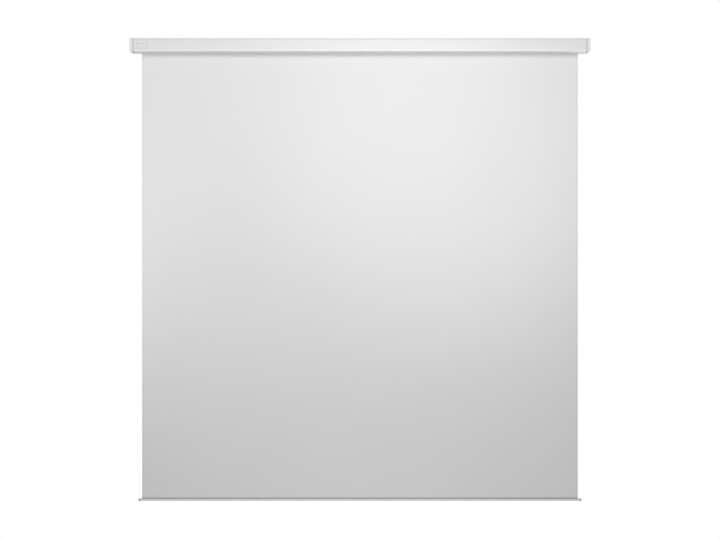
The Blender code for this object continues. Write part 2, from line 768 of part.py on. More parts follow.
def cap_screws(look):
    """Pan head screws from the cap's face into the bracket."""
    for side, end in ((LEFT, "left"), (RIGHT, "right")):
        for level, place in screw_places():
            under = CAP_END - SCREW_HEAD_HEIGHT - SEAT_GAP
            profile = [
                (BRACKET_INNER, SCREW_RADIUS - SCREW_TIP),
                (BRACKET_INNER + 2 * SCREW_TIP, SCREW_RADIUS),
                (under, SCREW_RADIUS),
                (under, SCREW_HEAD_RADIUS),
                (under + SCREW_HEAD_SIDE, SCREW_HEAD_RADIUS),
                (under + SCREW_HEAD_HEIGHT, SCREW_HEAD_CROWN),
            ]
            bm = turned(profile, SCREW_STEPS)
            placed(bm, mirror(side) @ Matrix.Translation((0, *place)))
            screw = piece(f"cap_screw_{end}_{level}", bm, look)
            arms = (SCREW_CROSS, SCREW_CROSS_WIDTH)
            for wide, tall in (arms, arms[::-1]):
                drive = prism(rectangle(wide, tall, 0, place), CAP_END - SCREW_HEAD_SIDE, CAP_END)
                shape(screw, placed(drive, mirror(side)))


# Tubular motor

def groove_radius(side_length):
    """The radius left under the clip groove in a square bar."""
    return side_length / 2 - CLIP_GROOVE_DEPTH


def clip_groove(radius, side):
    """A ring cutter for the groove that a retaining clip sits in."""
    start = BRACKET_OUTER
    end = start + CLIP_THICKNESS + 2 * SEAT_GAP
    profile = [(start, radius), (end, radius), (end, 3 * radius), (start, 3 * radius)]
    return placed(turned(profile, SMALL_ROUND_STEPS, closed=True), mirror(side))


def clip(name, groove, side, axis, look):
    """Open retaining clip on the outer face of a bracket."""
    opening = math.radians(CLIP_OPENING) / 2
    inner = groove + SEAT_GAP
    outline = sector(inner, inner + CLIP_SPAN, opening, math.tau - opening, SMALL_ROUND_STEPS)
    start = BRACKET_OUTER + SEAT_GAP
    bm = placed(prism(outline, start, start + CLIP_THICKNESS), mirror(side))
    piece(name, bm, look, axis)


def cable_arm_place(reach):
    """A point along the head's cable arm, round the roller's axis."""
    angle = math.radians(CABLE_ARM_ANGLE)
    return (reach * math.cos(angle), reach * math.sin(angle))


def motor_head(axis, look):
    """Motor head at the left bracket: square spigot, cable arm and two sockets for limit screws."""
    edge = HEAD_EDGE
    profile = [
        (HEAD_INNER, HEAD_RADIUS - edge),
        (HEAD_INNER + edge, HEAD_RADIUS),
        (HEAD_OUTER - edge, HEAD_RADIUS),
        (HEAD_OUTER, HEAD_RADIUS - edge),
    ]
    head = piece("motor_head", placed(turned(profile), mirror(LEFT)), look, axis)
    arm_radius = LEAD_RADIUS + SEAT_GAP + CABLE_ARM_WALL
    angle = math.radians(CABLE_ARM_ANGLE)
    quarter = math.pi / 2
    tip = arc(cable_arm_place(CABLE_ARM_REACH), arm_radius, angle - quarter, angle + quarter, NOTCH_STEPS)
    root = arc(cable_arm_place(HEAD_RADIUS / 2), arm_radius, angle + quarter, angle + 3 * quarter, 2)
    arm = prism(tip + root, HEAD_INNER + edge / 2, HEAD_OUTER - edge / 2)
    shape(head, placed(arm, mirror(LEFT)), "UNION")
    reach = BRACKET_OUTER + SPIGOT_PAST_BRACKET
    shape(head, placed(prism(square(SPIGOT_SIDE), HEAD_OUTER - edge, reach), mirror(LEFT)), "UNION")
    shape(head, clip_groove(groove_radius(SPIGOT_SIDE), LEFT))
    socket = circle(LEAD_RADIUS + SEAT_GAP, SCREW_STEPS, cable_arm_place(CABLE_ARM_REACH))
    holes = [placed(prism(socket, HEAD_INNER - LEAD_SOCKET, HEAD_INNER + LEAD_SOCKET), mirror(LEFT))]
    bore = circle(LIMIT_SCREW_RADIUS + SEAT_GAP, SCREW_STEPS)
    for place in limit_screw_frames():
        hole = prism(bore, -LIMIT_SCREW_LENGTH - SEAT_GAP, LIMIT_SCREW_LENGTH, "Z")
        holes.append(placed(hole, place))
    shape(head, joined(holes))


def limit_screw_frames():
    """Where each limit screw sits in the head: its own +Z points out along the screw."""
    middle = -(HEAD_INNER + HEAD_OUTER) / 2
    frames = []
    for degrees, offset in zip(LIMIT_SCREW_ANGLES, (-LIMIT_SCREW_OFFSET, LIMIT_SCREW_OFFSET)):
        angle = math.radians(degrees)
        turn = Matrix.Rotation(angle - math.pi / 2, 4, "X")
        reach = HEAD_RADIUS - 2 * SEAT_GAP
        place = Vector((middle + offset, reach * math.cos(angle), reach * math.sin(angle)))
        frames.append(Matrix.Translation(place) @ turn)
    return frames


def limit_screws(axis, looks):
    """Two hexagon socket screws that set the upper and the lower stop."""
    for name, place, look in zip(("limit_screw_up", "limit_screw_down"), limit_screw_frames(), looks):
        body = circle(LIMIT_SCREW_RADIUS, SCREW_STEPS)
        rim = circle(LIMIT_SCREW_RADIUS - LIMIT_SCREW_EDGE, SCREW_STEPS)
        stations = [(-LIMIT_SCREW_LENGTH, body), (-LIMIT_SCREW_EDGE, body), (0.0, rim)]
        rings = [[(a, b, height) for a, b in outline] for height, outline in stations]
        screw = piece(name, loft(rings), look, axis)
        hexagon = circle(LIMIT_SCREW_HEX / math.sqrt(3), 6)
        shape(screw, prism(hexagon, -LIMIT_SCREW_SOCKET, LIMIT_SCREW_LENGTH, "Z"))
        screw.matrix_local = place


def motor_body(axis, look):
    """The motor's steel tube with its rolled beads, down to the gearbox end."""
    start = HEAD_INNER - SEAT_GAP
    end = start - MOTOR_LENGTH
    bead_width = 2 * MOTOR_BEAD
    profile = [(start, MOTOR_RADIUS)]
    for at in (start - BEAD_FROM_HEAD, end + GEARBOX_LENGTH, end + BEAD_FROM_NOSE):
        profile += [
            (at + bead_width, MOTOR_RADIUS),
            (at, MOTOR_RADIUS - MOTOR_BEAD),
            (at - bead_width, MOTOR_RADIUS),
        ]
    profile += [(end + MOTOR_BEAD, MOTOR_RADIUS), (end, MOTOR_RADIUS - MOTOR_BEAD)]
    profile += [(end, MOTOR_NOSE_RADIUS), (motor_nose(), MOTOR_NOSE_RADIUS)]
    piece("motor_body", placed(turned(profile, SMALL_ROUND_STEPS), mirror(LEFT)), look, axis)


def motor_nose():
    """The inner end of the motor, as a distance from the screen's middle."""
    return HEAD_INNER - SEAT_GAP - MOTOR_LENGTH - MOTOR_NOSE_LENGTH


def flatted(radius, flat):
    """A circle with a flat on one side, at a distance from the centre."""
    half = math.acos(flat / radius)
    return arc((0, 0), radius, half, math.tau - half, SCREW_STEPS)


def output_shaft(axis, look):
    """The gearbox's D shaft."""
    start = motor_nose() - SEAT_GAP
    length = WHEEL_LENGTH + 3 * SEAT_GAP + SHAFT_PAST_WHEEL
    bm = prism(flatted(SHAFT_RADIUS, SHAFT_FLAT), start - length, start)
    piece("output_shaft", placed(bm, mirror(LEFT)), look, axis)


def drive_wheel(axis, look):
    """The wheel that turns the tube: a keyed rim, five windows and a hub on the D shaft."""
    start = motor_nose() - 2 * SEAT_GAP
    end = start - WHEEL_LENGTH
    wheel = piece(
        "drive_wheel",
        placed(prism(keyed_circle(INSERT_RADIUS, KEY_RADIUS + SEAT_GAP), end, start), mirror(LEFT)),
        look,
        axis,
    )
    through = (end - WHEEL_LENGTH, start + WHEEL_LENGTH)
    cuts = [prism(flatted(SHAFT_RADIUS + SEAT_GAP, SHAFT_FLAT + SEAT_GAP), *through)]
    for window in sectors(WHEEL_HUB_RADIUS, WHEEL_RIM_INNER_RADIUS, WHEEL_WINDOWS, WHEEL_WINDOW_ANGLE):
        cuts.append(prism(window, *through))
    shape(wheel, placed(joined(cuts), mirror(LEFT)))


def limit_crown(axis, look):
    """The ring that turns with the tube round the motor and drives its limit counter."""
    keyed = keyed_circle(INSERT_RADIUS, KEY_RADIUS + SEAT_GAP)
    bore = same_angles(keyed, MOTOR_RADIUS + RUNNING_GAP)
    flange = same_angles(keyed, PLUG_FLANGE_RADIUS)
    inner = FLANGE_INNER - CROWN_LENGTH
    stations = [(inner, keyed), (FLANGE_INNER, keyed), (FLANGE_INNER, flange), (FLANGE_OUTER, flange)]
    stations += [(FLANGE_OUTER, bore), (inner, bore)]
    piece("limit_crown", placed(loft(section_rings(stations), closed=True), mirror(LEFT)), look, axis)


# Roller

def roller_tube(axis, look):
    """Extruded tube with a slot for the edge cord; the slot's wall is the key inside."""
    half_mouth = EDGE_SLOT_MOUTH / 2
    mouth = math.acos(half_mouth / TUBE_RADIUS)
    throat = math.acos(half_mouth / CAVITY_RADIUS)
    cavity = arc((0, CAVITY_HEIGHT), CAVITY_RADIUS, throat, -math.pi - throat, SLOT_STEPS)
    key_height = (TUBE_BORE**2 + CAVITY_HEIGHT**2 - KEY_RADIUS**2) / (2 * CAVITY_HEIGHT)
    key_side = math.sqrt(TUBE_BORE**2 - key_height**2)
    key_start = math.atan2(key_height - CAVITY_HEIGHT, key_side)
    key = arc((0, CAVITY_HEIGHT), KEY_RADIUS, key_start, -math.pi - key_start, SLOT_STEPS + 2)
    bore_start = math.atan2(key_height, key_side)
    outer = arc((0, 0), TUBE_RADIUS, math.pi - mouth, math.tau + mouth, ROUND_STEPS) + cavity
    inner = arc((0, 0), TUBE_BORE, math.pi - bore_start, math.tau + bore_start, ROUND_STEPS) + key[1:-1]
    stations = [(-TUBE_END, outer), (TUBE_END, outer), (TUBE_END, inner), (-TUBE_END, inner)]
    piece("roller_tube", loft(section_rings(stations), closed=True), look, axis)


def edge_cord(axis, look):
    """The cord welded in the fabric's edge, lying in the tube's slot."""
    half = FABRIC_WIDTH / 2
    outline = circle(EDGE_CORD_RADIUS, CORD_STEPS, (0, CAVITY_HEIGHT))
    piece("fabric_edge_cord", prism(outline, -half, half), look, axis)


def wound_fabric(axis, look):
    """The turns left on the roller, one unbroken strip from the rear tangent into the tube's slot."""
    end_angle = math.tau * SAFETY_TURNS
    stop = end_angle - FEED_BEND / FIRST_TURN_RADIUS
    path = []
    for i in range(WINDING_STEPS + 1):
        angle = stop * i / WINDING_STEPS
        radius = HANG_RADIUS - TURN_PITCH * angle / math.tau
        path.append((radius * math.cos(angle), radius * math.sin(angle)))
    bend = (FEED_BEND, FIRST_TURN_RADIUS - FEED_BEND)
    path += arc(bend, FEED_BEND, math.pi / 2, math.pi, FEED_STEPS)[1:]
    path.append((0.0, CAVITY_HEIGHT + EDGE_CORD_RADIUS + SEAT_GAP))
    half = FABRIC_WIDTH / 2
    piece("wound_fabric", prism(thickened(path, FABRIC_THICKNESS), -half, half), look, axis)


# Idler end

def idler_plug(axis, look):
    """Keyed plug in the tube's right end, with a flange, six blind pockets and the bush's bore."""
    keyed = keyed_circle(INSERT_RADIUS, KEY_RADIUS + SEAT_GAP)
    bore = same_angles(keyed, BUSH_RADIUS + SEAT_GAP)
    flange = same_angles(keyed, PLUG_FLANGE_RADIUS)
    inner = FLANGE_INNER - IDLER_PLUG_LENGTH
    stations = [(inner, keyed), (FLANGE_INNER, keyed), (FLANGE_INNER, flange), (FLANGE_OUTER, flange)]
    stations += [(FLANGE_OUTER, bore), (inner, bore)]
    plug = piece("idler_plug", loft(section_rings(stations), closed=True), look, axis)
    hub = BUSH_RADIUS + SEAT_GAP + IDLER_HUB_WALL
    pockets = []
    for outline in sectors(hub, INSERT_RADIUS - 2 * KEY_RADIUS, IDLER_POCKETS, IDLER_POCKET_ANGLE):
        pockets.append(prism(outline, inner - IDLER_HUB_WALL, FLANGE_INNER - IDLER_POCKET_FLOOR))
    shape(plug, joined(pockets))


def idler_bush(axis, look):
    """Flanged plain bearing in the plug."""
    inner = FLANGE_INNER - IDLER_PLUG_LENGTH
    seat = FLANGE_OUTER + SEAT_GAP
    bore = PIN_RADIUS + SEAT_GAP
    profile = [
        (inner, bore),
        (inner, BUSH_RADIUS),
        (seat, BUSH_RADIUS),
        (seat, BUSH_FLANGE_RADIUS),
        (seat + BUSH_FLANGE, BUSH_FLANGE_RADIUS),
        (seat + BUSH_FLANGE, bore),
    ]
    piece("idler_bush", turned(profile, SMALL_ROUND_STEPS, closed=True), look, axis)


def idler_spacer(axis, look):
    """Sleeve on the pin between the bush and the bracket."""
    start = FLANGE_OUTER + SEAT_GAP + BUSH_FLANGE + RUNNING_GAP
    bore = PIN_RADIUS + SEAT_GAP
    profile = [(start, bore), (start, SPACER_RADIUS), (HEAD_OUTER, SPACER_RADIUS), (HEAD_OUTER, bore)]
    piece("idler_spacer", turned(profile, SMALL_ROUND_STEPS, closed=True), look, axis)


def idler_pin(axis, look):
    """Fixed steel pin: round in the bush, square in the bracket."""
    start = FLANGE_INNER - IDLER_PLUG_LENGTH - PIN_PAST_PLUG
    profile = [
        (start, PIN_RADIUS - PIN_CHAMFER),
        (start + PIN_CHAMFER, PIN_RADIUS),
        (HEAD_OUTER, PIN_RADIUS),
    ]
    pin = piece("idler_pin", turned(profile, SMALL_ROUND_STEPS), look, axis)
    reach = BRACKET_OUTER + SPIGOT_PAST_BRACKET
    shape(pin, prism(square(PIN_SQUARE), HEAD_OUTER - PIN_RADIUS, reach), "UNION")
    shape(pin, clip_groove(groove_radius(PIN_SQUARE), RIGHT))


# Receiver, supply inlet and leads

def supply_lead_place():
    """Where the supply lead passes the left bracket, in the YZ plane."""
    return (-SUPPLY_LEAD_FROM_WALL, SUPPLY_LEAD_HEIGHT)


def receiver_start():
    """The receiver's left end, as a distance from the screen's middle."""
    return CASE_END - RECEIVER_FROM_END


def receiver_middle():
    """The receiver's middle in the YZ plane, in the casing's upper rear corner."""
    inset = CASE_WALL + 2 * SEAT_GAP
    return (-inset - RECEIVER_WIDTH / 2, CASE_HALF_HEIGHT - inset - RECEIVER_HEIGHT / 2)


def receiver_ports():
    """The two cable entries: the motor's towards the front, the supply's towards the wall."""
    across, height = receiver_middle()
    return ((across - LEAD_SPACING / 2, height), (across + LEAD_SPACING / 2, height))


def receiver(box_look, cover_look):
    """Radio receiver: a slim box and the end cover that its leads enter."""
    start = receiver_start()
    outline = rectangle(RECEIVER_WIDTH, RECEIVER_HEIGHT, RECEIVER_CORNER, receiver_middle())
    body = piece("receiver_box", prism(outline, -start, -start + RECEIVER_LENGTH), box_look)
    outer = -start - SEAT_GAP - RECEIVER_COVER
    cover = piece("receiver_cover", prism(outline, outer, -start - SEAT_GAP), cover_look)
    for target, low in ((body, -start - LEAD_SOCKET), (cover, outer - LEAD_SOCKET)):
        bores = [circle(LEAD_RADIUS + SEAT_GAP, SCREW_STEPS, port) for port in receiver_ports()]
        shape(target, joined([prism(bore, low, -start + LEAD_SOCKET) for bore in bores]))


def inlet_middle():
    """The inlet's middle in the YZ plane; its lead leaves near the upper wall side."""
    across, height = supply_lead_place()
    return (across - INLET_WIDTH / 2 + LEAD_RADIUS + INLET_LEAD_WALL, height - INLET_HEIGHT / 4)


def inlet_corners(margin):
    """The inlet's outline."""
    across, height = inlet_middle()
    right = across + INLET_WIDTH / 2 + margin
    left = across - INLET_WIDTH / 2 - margin
    top = height + INLET_HEIGHT / 2 + margin
    bottom = height - INLET_HEIGHT / 2 - margin
    radius = (INLET_WIDTH / 2 + margin) * INLET_ROUNDNESS
    return [(right, bottom, radius), (right, top, radius), (left, top, radius), (left, bottom, radius)]


def supply_inlet(body_look, pin_look):
    """Two-pin appliance inlet in the left cap: its body and its pins."""
    face = CAP_END - SEAT_GAP / 3
    under = face - INLET_FLANGE
    end = CAP_END - INLET_DEPTH
    stations = [
        (face, rounded(inlet_corners(INLET_FLANGE_MARGIN))),
        (under, rounded(inlet_corners(INLET_FLANGE_MARGIN))),
        (under, rounded(inlet_corners(0.0))),
        (end, rounded(inlet_corners(0.0))),
    ]
    body = piece("inlet_body", placed(loft(section_rings(stations)), mirror(LEFT)), body_look)
    cavity = rounded(inlet_corners(-INLET_CAVITY_WALL))
    floor = CAP_END - INLET_CAVITY_DEPTH
    shape(body, placed(prism(cavity, floor, CAP_END + INLET_FLANGE), mirror(LEFT)))
    across, height = inlet_middle()
    places = ((across, height + INLET_PIN_SPACING / 2), (across, height - INLET_PIN_SPACING / 2))
    tip = CAP_END - INLET_PIN_BELOW_FACE
    tail = tip - INLET_PIN_LENGTH
    bores = [circle(INLET_PIN_RADIUS + SEAT_GAP, SCREW_STEPS, place) for place in places]
    holes = [prism(bore, tail - SEAT_GAP, floor + SEAT_GAP) for bore in bores]
    socket = circle(LEAD_RADIUS + SEAT_GAP, SCREW_STEPS, supply_lead_place())
    holes.append(prism(socket, end - LEAD_SOCKET, end + lead_in_inlet()))
    shape(body, placed(joined(holes), mirror(LEFT)))
    nose = INLET_PIN_RADIUS / 2
    profile = [(tail, INLET_PIN_RADIUS), (tip - nose, INLET_PIN_RADIUS), (tip, INLET_PIN_RADIUS - nose)]
    for name, place in zip(("inlet_pin_upper", "inlet_pin_lower"), places):
        bm = turned(profile, SCREW_STEPS)
        piece(name, placed(bm, mirror(LEFT) @ Matrix.Translation((0, *place))), pin_look)


def lead_in_inlet():
    """How far the supply lead's socket reaches into the inlet's rear, short of the pins' ends."""
    return LEAD_SOCKET / 2


def grommet_groove():
    """The radius of the grommet's groove."""
    return LEAD_RADIUS + SEAT_GAP + GROMMET_WALL


def lead_grommet(look):
    """Rubber grommet in the left bracket round the supply lead."""
    bore = LEAD_RADIUS + SEAT_GAP
    groove = grommet_groove()
    lip = groove + GROMMET_WALL
    low = BRACKET_INNER - SEAT_GAP
    high = BRACKET_OUTER + SEAT_GAP
    profile = [(low - GROMMET_LIP, bore), (low - GROMMET_LIP, lip), (low, lip), (low, groove)]
    profile += [(high, groove), (high, lip), (high + GROMMET_LIP, lip), (high + GROMMET_LIP, bore)]
    bm = turned(profile, SMALL_ROUND_STEPS, closed=True)
    piece("lead_grommet", placed(bm, mirror(LEFT) @ Matrix.Translation((0, *supply_lead_place()))), look)


def leads(look):
    """The motor's lead and the supply's lead, both to the receiver."""
    motor_port, supply_port = receiver_ports()
    end = -receiver_start() + LEAD_SOCKET - SEAT_GAP
    arm = cable_arm_place(CABLE_ARM_REACH)
    exit_place = (arm[0] - AXIS_FROM_WALL, arm[1])
    start = -HEAD_INNER - LEAD_SOCKET + SEAT_GAP
    straight = 4 * LEAD_RADIUS
    lead(
        "motor_lead",
        [
            (start, *exit_place),
            (-HEAD_INNER + straight, *exit_place),
            (end - LEAD_SOCKET - RECEIVER_COVER - straight, *motor_port),
            (end - LEAD_SOCKET - RECEIVER_COVER, *motor_port),
            (end, *motor_port),
        ],
        look,
    )
    place = supply_lead_place()
    inlet_end = -(CAP_END - INLET_DEPTH + lead_in_inlet() - SEAT_GAP)
    inner_face = -BRACKET_INNER + 2 * SEAT_GAP + GROMMET_LIP
    rise = (supply_port[0] - LEAD_RISE_FORWARD, supply_port[1] - LEAD_RISE_BELOW)
    lead(
        "supply_lead",
        [
            (inlet_end, *place),
            (-BRACKET_OUTER, *place),
            (inner_face, *place),
            (inner_face + LEAD_RADIUS, *place),
            (inner_face + LEAD_RISE_LENGTH, *rise),
            (end - LEAD_SOCKET - RECEIVER_COVER - straight, *supply_port),
            (end - LEAD_SOCKET - RECEIVER_COVER, *supply_port),
            (end, *supply_port),
        ],
        look,
    )


# Hanging fabric and weight rod

def screen_fabric(bar, look):
    """The flat sheet from the roller's rear tangent down to the weld over the rod."""
    half = FABRIC_WIDTH / 2
    top = -ROD_HEIGHT - SEAT_GAP
    bottom = WELD_TOP + SEAT_GAP
    thick = FABRIC_THICKNESS / 2
    piece("screen_fabric", box((-half, -thick, bottom), (half, thick, top)), look, bar)


def pocket_outline(radius, peak, neck):
    """A drop round the rod with its peak drawn up to a narrow weld strip of half width neck."""
    touch = math.asin((radius - neck) / math.hypot(peak, neck)) if neck else math.asin(radius / peak)
    outline = arc((0, 0), radius, math.pi - touch, math.tau + touch, SMALL_ROUND_STEPS)
    if neck:
        return outline + [(neck, peak), (neck, WELD_TOP), (-neck, WELD_TOP), (-neck, peak)]
    return outline + [(0.0, peak)]


def hem_pocket(bar, look):
    """The fabric's lower edge: a drop-shaped pocket round the rod, welded shut above it."""
    half = FABRIC_WIDTH / 2
    peak = POCKET_RADIUS + POCKET_PEAK
    outer = pocket_outline(POCKET_RADIUS, peak, FABRIC_THICKNESS)
    inner = pocket_outline(POCKET_RADIUS - FABRIC_THICKNESS, peak - 2 * FABRIC_THICKNESS, 0.0)
    pocket = piece("hem_pocket", prism(outer, -half, half), look, bar)
    shape(pocket, prism(inner, -half - ROD_NECK, half + ROD_NECK))


def weight_rod(bar, look):
    """Steel tube in the pocket, its ends inside the knobs."""
    end = ROD_END - KNOB_LENGTH + KNOB_SOCKET - SEAT_GAP
    bore = ROD_RADIUS - ROD_WALL
    profile = [(-end, ROD_RADIUS), (end, ROD_RADIUS), (end, bore), (-end, bore)]
    piece("weight_rod", turned(profile, SMALL_ROUND_STEPS, closed=True), look, bar)


def rod_knob(name, side, bar, look):
    """Moulded knob with a domed end, pushed on the rod."""
    inner = ROD_END - KNOB_LENGTH
    mouth = ROD_RADIUS + SEAT_GAP
    profile = [(inner + KNOB_SOCKET, KNOB_CENTRE_FLAT), (inner + KNOB_SOCKET, mouth), (inner, mouth)]
    profile += [(inner, KNOB_RADIUS - KNOB_EDGE), (inner + KNOB_EDGE, KNOB_RADIUS)]
    for step in range(KNOB_DOME_STEPS):
        angle = math.pi / 2 * step / KNOB_DOME_STEPS
        depth = ROD_END - KNOB_DOME * (1 - math.sin(angle))
        profile.append((depth, KNOB_RADIUS * math.cos(angle)))
    profile.append((ROD_END, KNOB_CENTRE_FLAT))
    bm = turned(profile, SMALL_ROUND_STEPS)
    piece(name, placed(bm, mirror(side)), look, bar)


def build():
    """Clear the scene, make the looks and every piece."""
    for old in list(bpy.data.objects):
        bpy.data.objects.remove(old, do_unlink=True)
    white_paint = material("white_paint", (0.84, 0.84, 0.84), 0.38)
    white_plastic = material("white_plastic", (0.82, 0.82, 0.82), 0.45)
    plate_plastic = material("plate_plastic", (0.83, 0.83, 0.83), 0.4)
    grey_plastic = material("grey_plastic", (0.42, 0.42, 0.43), 0.5)
    knob_plastic = material("knob_plastic", (0.6, 0.6, 0.61), 0.5)
    black_plastic = material("black_plastic", (0.03, 0.03, 0.032), 0.5)
    nylon = material("nylon", (0.72, 0.71, 0.67), 0.5)
    zinc_steel = material("zinc_steel", (0.58, 0.59, 0.6), 0.35, 1.0)
    motor_steel = material("motor_steel", (0.66, 0.67, 0.68), 0.3, 1.0)
    aluminium = material("aluminium", (0.75, 0.76, 0.77), 0.35, 1.0)
    matte_fabric = material("matte_fabric", (0.86, 0.86, 0.86), 0.9)
    lead_jacket = material("lead_jacket", (0.7, 0.7, 0.7), 0.6)
    rubber = material("rubber", (0.04, 0.04, 0.04), 0.8)
    yellow_plastic = material("yellow_plastic", (0.75, 0.6, 0.05), 0.5)

    case_shell(white_paint)
    front_cover_plate(plate_plastic)
    bracket("motor_bracket", LEFT, SPIGOT_SIDE, zinc_steel)
    bracket("idler_bracket", RIGHT, PIN_SQUARE, zinc_steel)
    rivets(zinc_steel)
    end_cap("end_cap_left", LEFT, white_plastic)
    end_cap("end_cap_right", RIGHT, white_plastic)
    cap_screws(zinc_steel)
    receiver(white_plastic, grey_plastic)
    supply_inlet(black_plastic, zinc_steel)
    lead_grommet(rubber)
    leads(lead_jacket)

    fixed_axis = carrier("fixed_axis", (0, -AXIS_FROM_WALL, 0))
    motor_head(fixed_axis, black_plastic)
    limit_screws(fixed_axis, (yellow_plastic, white_plastic))
    motor_body(fixed_axis, motor_steel)
    clip("motor_clip", groove_radius(SPIGOT_SIDE), LEFT, fixed_axis, zinc_steel)
    idler_pin(fixed_axis, zinc_steel)
    idler_spacer(fixed_axis, nylon)
    clip("idler_clip", groove_radius(PIN_SQUARE), RIGHT, fixed_axis, zinc_steel)

    roller = carrier("roller_axis", (0, -AXIS_FROM_WALL, 0))
    roller_tube(roller, aluminium)
    limit_crown(roller, black_plastic)
    drive_wheel(roller, black_plastic)
    output_shaft(roller, zinc_steel)
    idler_plug(roller, black_plastic)
    idler_bush(roller, nylon)
    edge_cord(roller, nylon)
    wound_fabric(roller, matte_fabric)

    bar = carrier("rod_axis", (0, -FABRIC_FROM_WALL, ROD_HEIGHT))
    screen_fabric(bar, matte_fabric)
    hem_pocket(bar, matte_fabric)
    weight_rod(bar, zinc_steel)
    rod_knob("rod_knob_left", LEFT, bar, knob_plastic)
    rod_knob("rod_knob_right", RIGHT, bar, knob_plastic)
    casing = f"casing {CASE_DEPTH * 1000:.1f} deep and {CASE_HALF_HEIGHT * 2000:.1f} high"
    print(f"{casing}, travel {TRAVEL * 1000:.1f} mm")


build()
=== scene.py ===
"""Looks of a motorised projector screen: cloth, finishes, floor, light and camera round the CAD frame.

Metres, +Z up, the projection side faces -Y. The hanging sheet, the hem and the turns on the roller
are modelled here as cloth; every other piece is the CAD's own, with a finish of its own.
"""

import json
import math

import bmesh
import bpy
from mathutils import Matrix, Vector


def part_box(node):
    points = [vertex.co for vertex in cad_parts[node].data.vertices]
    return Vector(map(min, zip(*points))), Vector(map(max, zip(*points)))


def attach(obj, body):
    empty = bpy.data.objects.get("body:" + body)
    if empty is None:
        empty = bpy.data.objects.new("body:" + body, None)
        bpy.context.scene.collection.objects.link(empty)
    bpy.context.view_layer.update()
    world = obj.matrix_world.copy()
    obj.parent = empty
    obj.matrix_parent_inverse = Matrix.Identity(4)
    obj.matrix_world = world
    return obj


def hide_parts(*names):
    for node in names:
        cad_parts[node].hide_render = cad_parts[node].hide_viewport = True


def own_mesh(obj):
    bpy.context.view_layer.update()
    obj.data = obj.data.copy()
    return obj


# Cloth
CLOTH_THICKNESS = 0.00035
HEM_BODY = "rod"
WEAVE_PITCH = 0.0007
WEAVE_UNEVENNESS = 0.4

# Hanging sheet: its mesh is finer towards the hem and at the side edges
SHEET_ROWS = 44
SHEET_COLUMNS = 36
SHEET_CROWDING = 1.6
NEAR_EDGE = (0.012, 0.02, 0.045)
CURL_WIDTH = 0.008
CURL_BEND = 0.0004
CURL_DEPTH_HIGH = 0.0011
CURL_DEPTH_LOW = 0.0024
CURL_GROWTH_HEIGHT = 1.1
CURL_FADE_TOP = 0.09
CURL_FADE_HEM = 0.014
RIPPLE = 0.00022
RIPPLE_MIDDLE = 1.5
RIPPLE_FADE_HEM = 0.05
BULGE_ACROSS = 7.3
BULGE_DOWN = 2.1
BULGE_STARTS = (0.6, 1.1)
SLANT_ACROSS = 15.7
SLANT_DOWN = 1.9
SLANT_SHARE = 0.5

# Hem round the weight rod, heights over the rod's axis, and the faint swell at its ends
POCKET_PEAK = 0.0072
WELD_LOW = 0.0045
WELD_HIGH = 0.0091
WELD_PRESS = 0.00012
# Bands of the hem's outside that take the dark weld colour, which is partly painted shade of the crease
# over the rod
WELD_AND_SHADE_BANDS = (2, 3)
STRIP_POINTS = 5
PEAK_SPREAD = 0.00002
PEAK_DROP = 0.00003
HEM_STEPS = 14
HEM_COLUMNS = 64
HEM_SWELL = 0.012
HEM_SWELL_LENGTH = 0.12
HEM_SWELL_WAVES = 190.0

# Turns left on the roller
TURN_PITCH = 0.00075
SAFETY_TURNS = 1.25
FIRST_TURN_RADIUS = 0.019475
FEED_BEND = 0.0004
FEED_STEPS = 6
TURN_STEPS = 120
CORD_TOP = 0.0188

# Zones of the casing's coat, heights over its underside, and how far each moves the tint; the lip zones
# carry a painted highlight along the casing's lower edge
LIP_HIGHLIGHT_HEIGHT = 0.009
EDGE_HIGHLIGHT_HEIGHT = 0.0045
CASE_UNDERSIDE = 0.0003
LIP_HIGHLIGHT_SHARE = 0.33
EDGE_HIGHLIGHT_SHARE = 0.57
COAT_CLOUDS = 0.1
COAT_CLOUD_AND_HIGHLIGHT_TINTS = (0.985, 1.13)

# Zones of the end caps, the cover plate and the cloth; painted shade darkens the caps' necks, the gap
# round the cover plate with a painted shadow at its end, and the cloth's side edges
CAP_SEAM = 0.0005
CAP_RIM = 0.0117
CAP_LINE_FROM_END = 0.0049
CAP_LINE = 0.0012
CAP_NECK_SHADE_AND_LINE_GREY = 0.755
PLATE_SHADOW = 0.0006
PLATE_END_SHADOW_HALF_WIDTH = 0.001
PLATE_GAP_SHADE_SHARE = 0.6
PLATE_END_SHADOW_SHARE = 0.4
PLATE_GAP_SHADE_GREY = 0.1
CLOTH_EDGE_SHADE_WIDTH = 0.0066
CLOTH_CLOUDS = 0.72
CLOTH_CLOUD_AND_EDGE_SHADE_TINTS = (0.955, 1.004)

# Scale of a moulded plastic's grain
PLASTIC_GRAIN = 900.0

# Shading of facets, angles in degrees
SHARP_ANGLE = 40
FACET_ANGLE = 36
MERGE_DISTANCE = 0.000002
NORMAL_WEIGHT = 100

# Camera: level and straight on, 0.3 mm to the right of the screen's middle
FOCAL_PIXELS = 969.0
IMAGE_WIDTH = 720
SENSOR_WIDTH = 36.0
CAMERA_FROM_CASING = 4.4
CAMERA_BELOW_CASING = 0.9946
CAMERA_SIDEWAYS = 0.0003

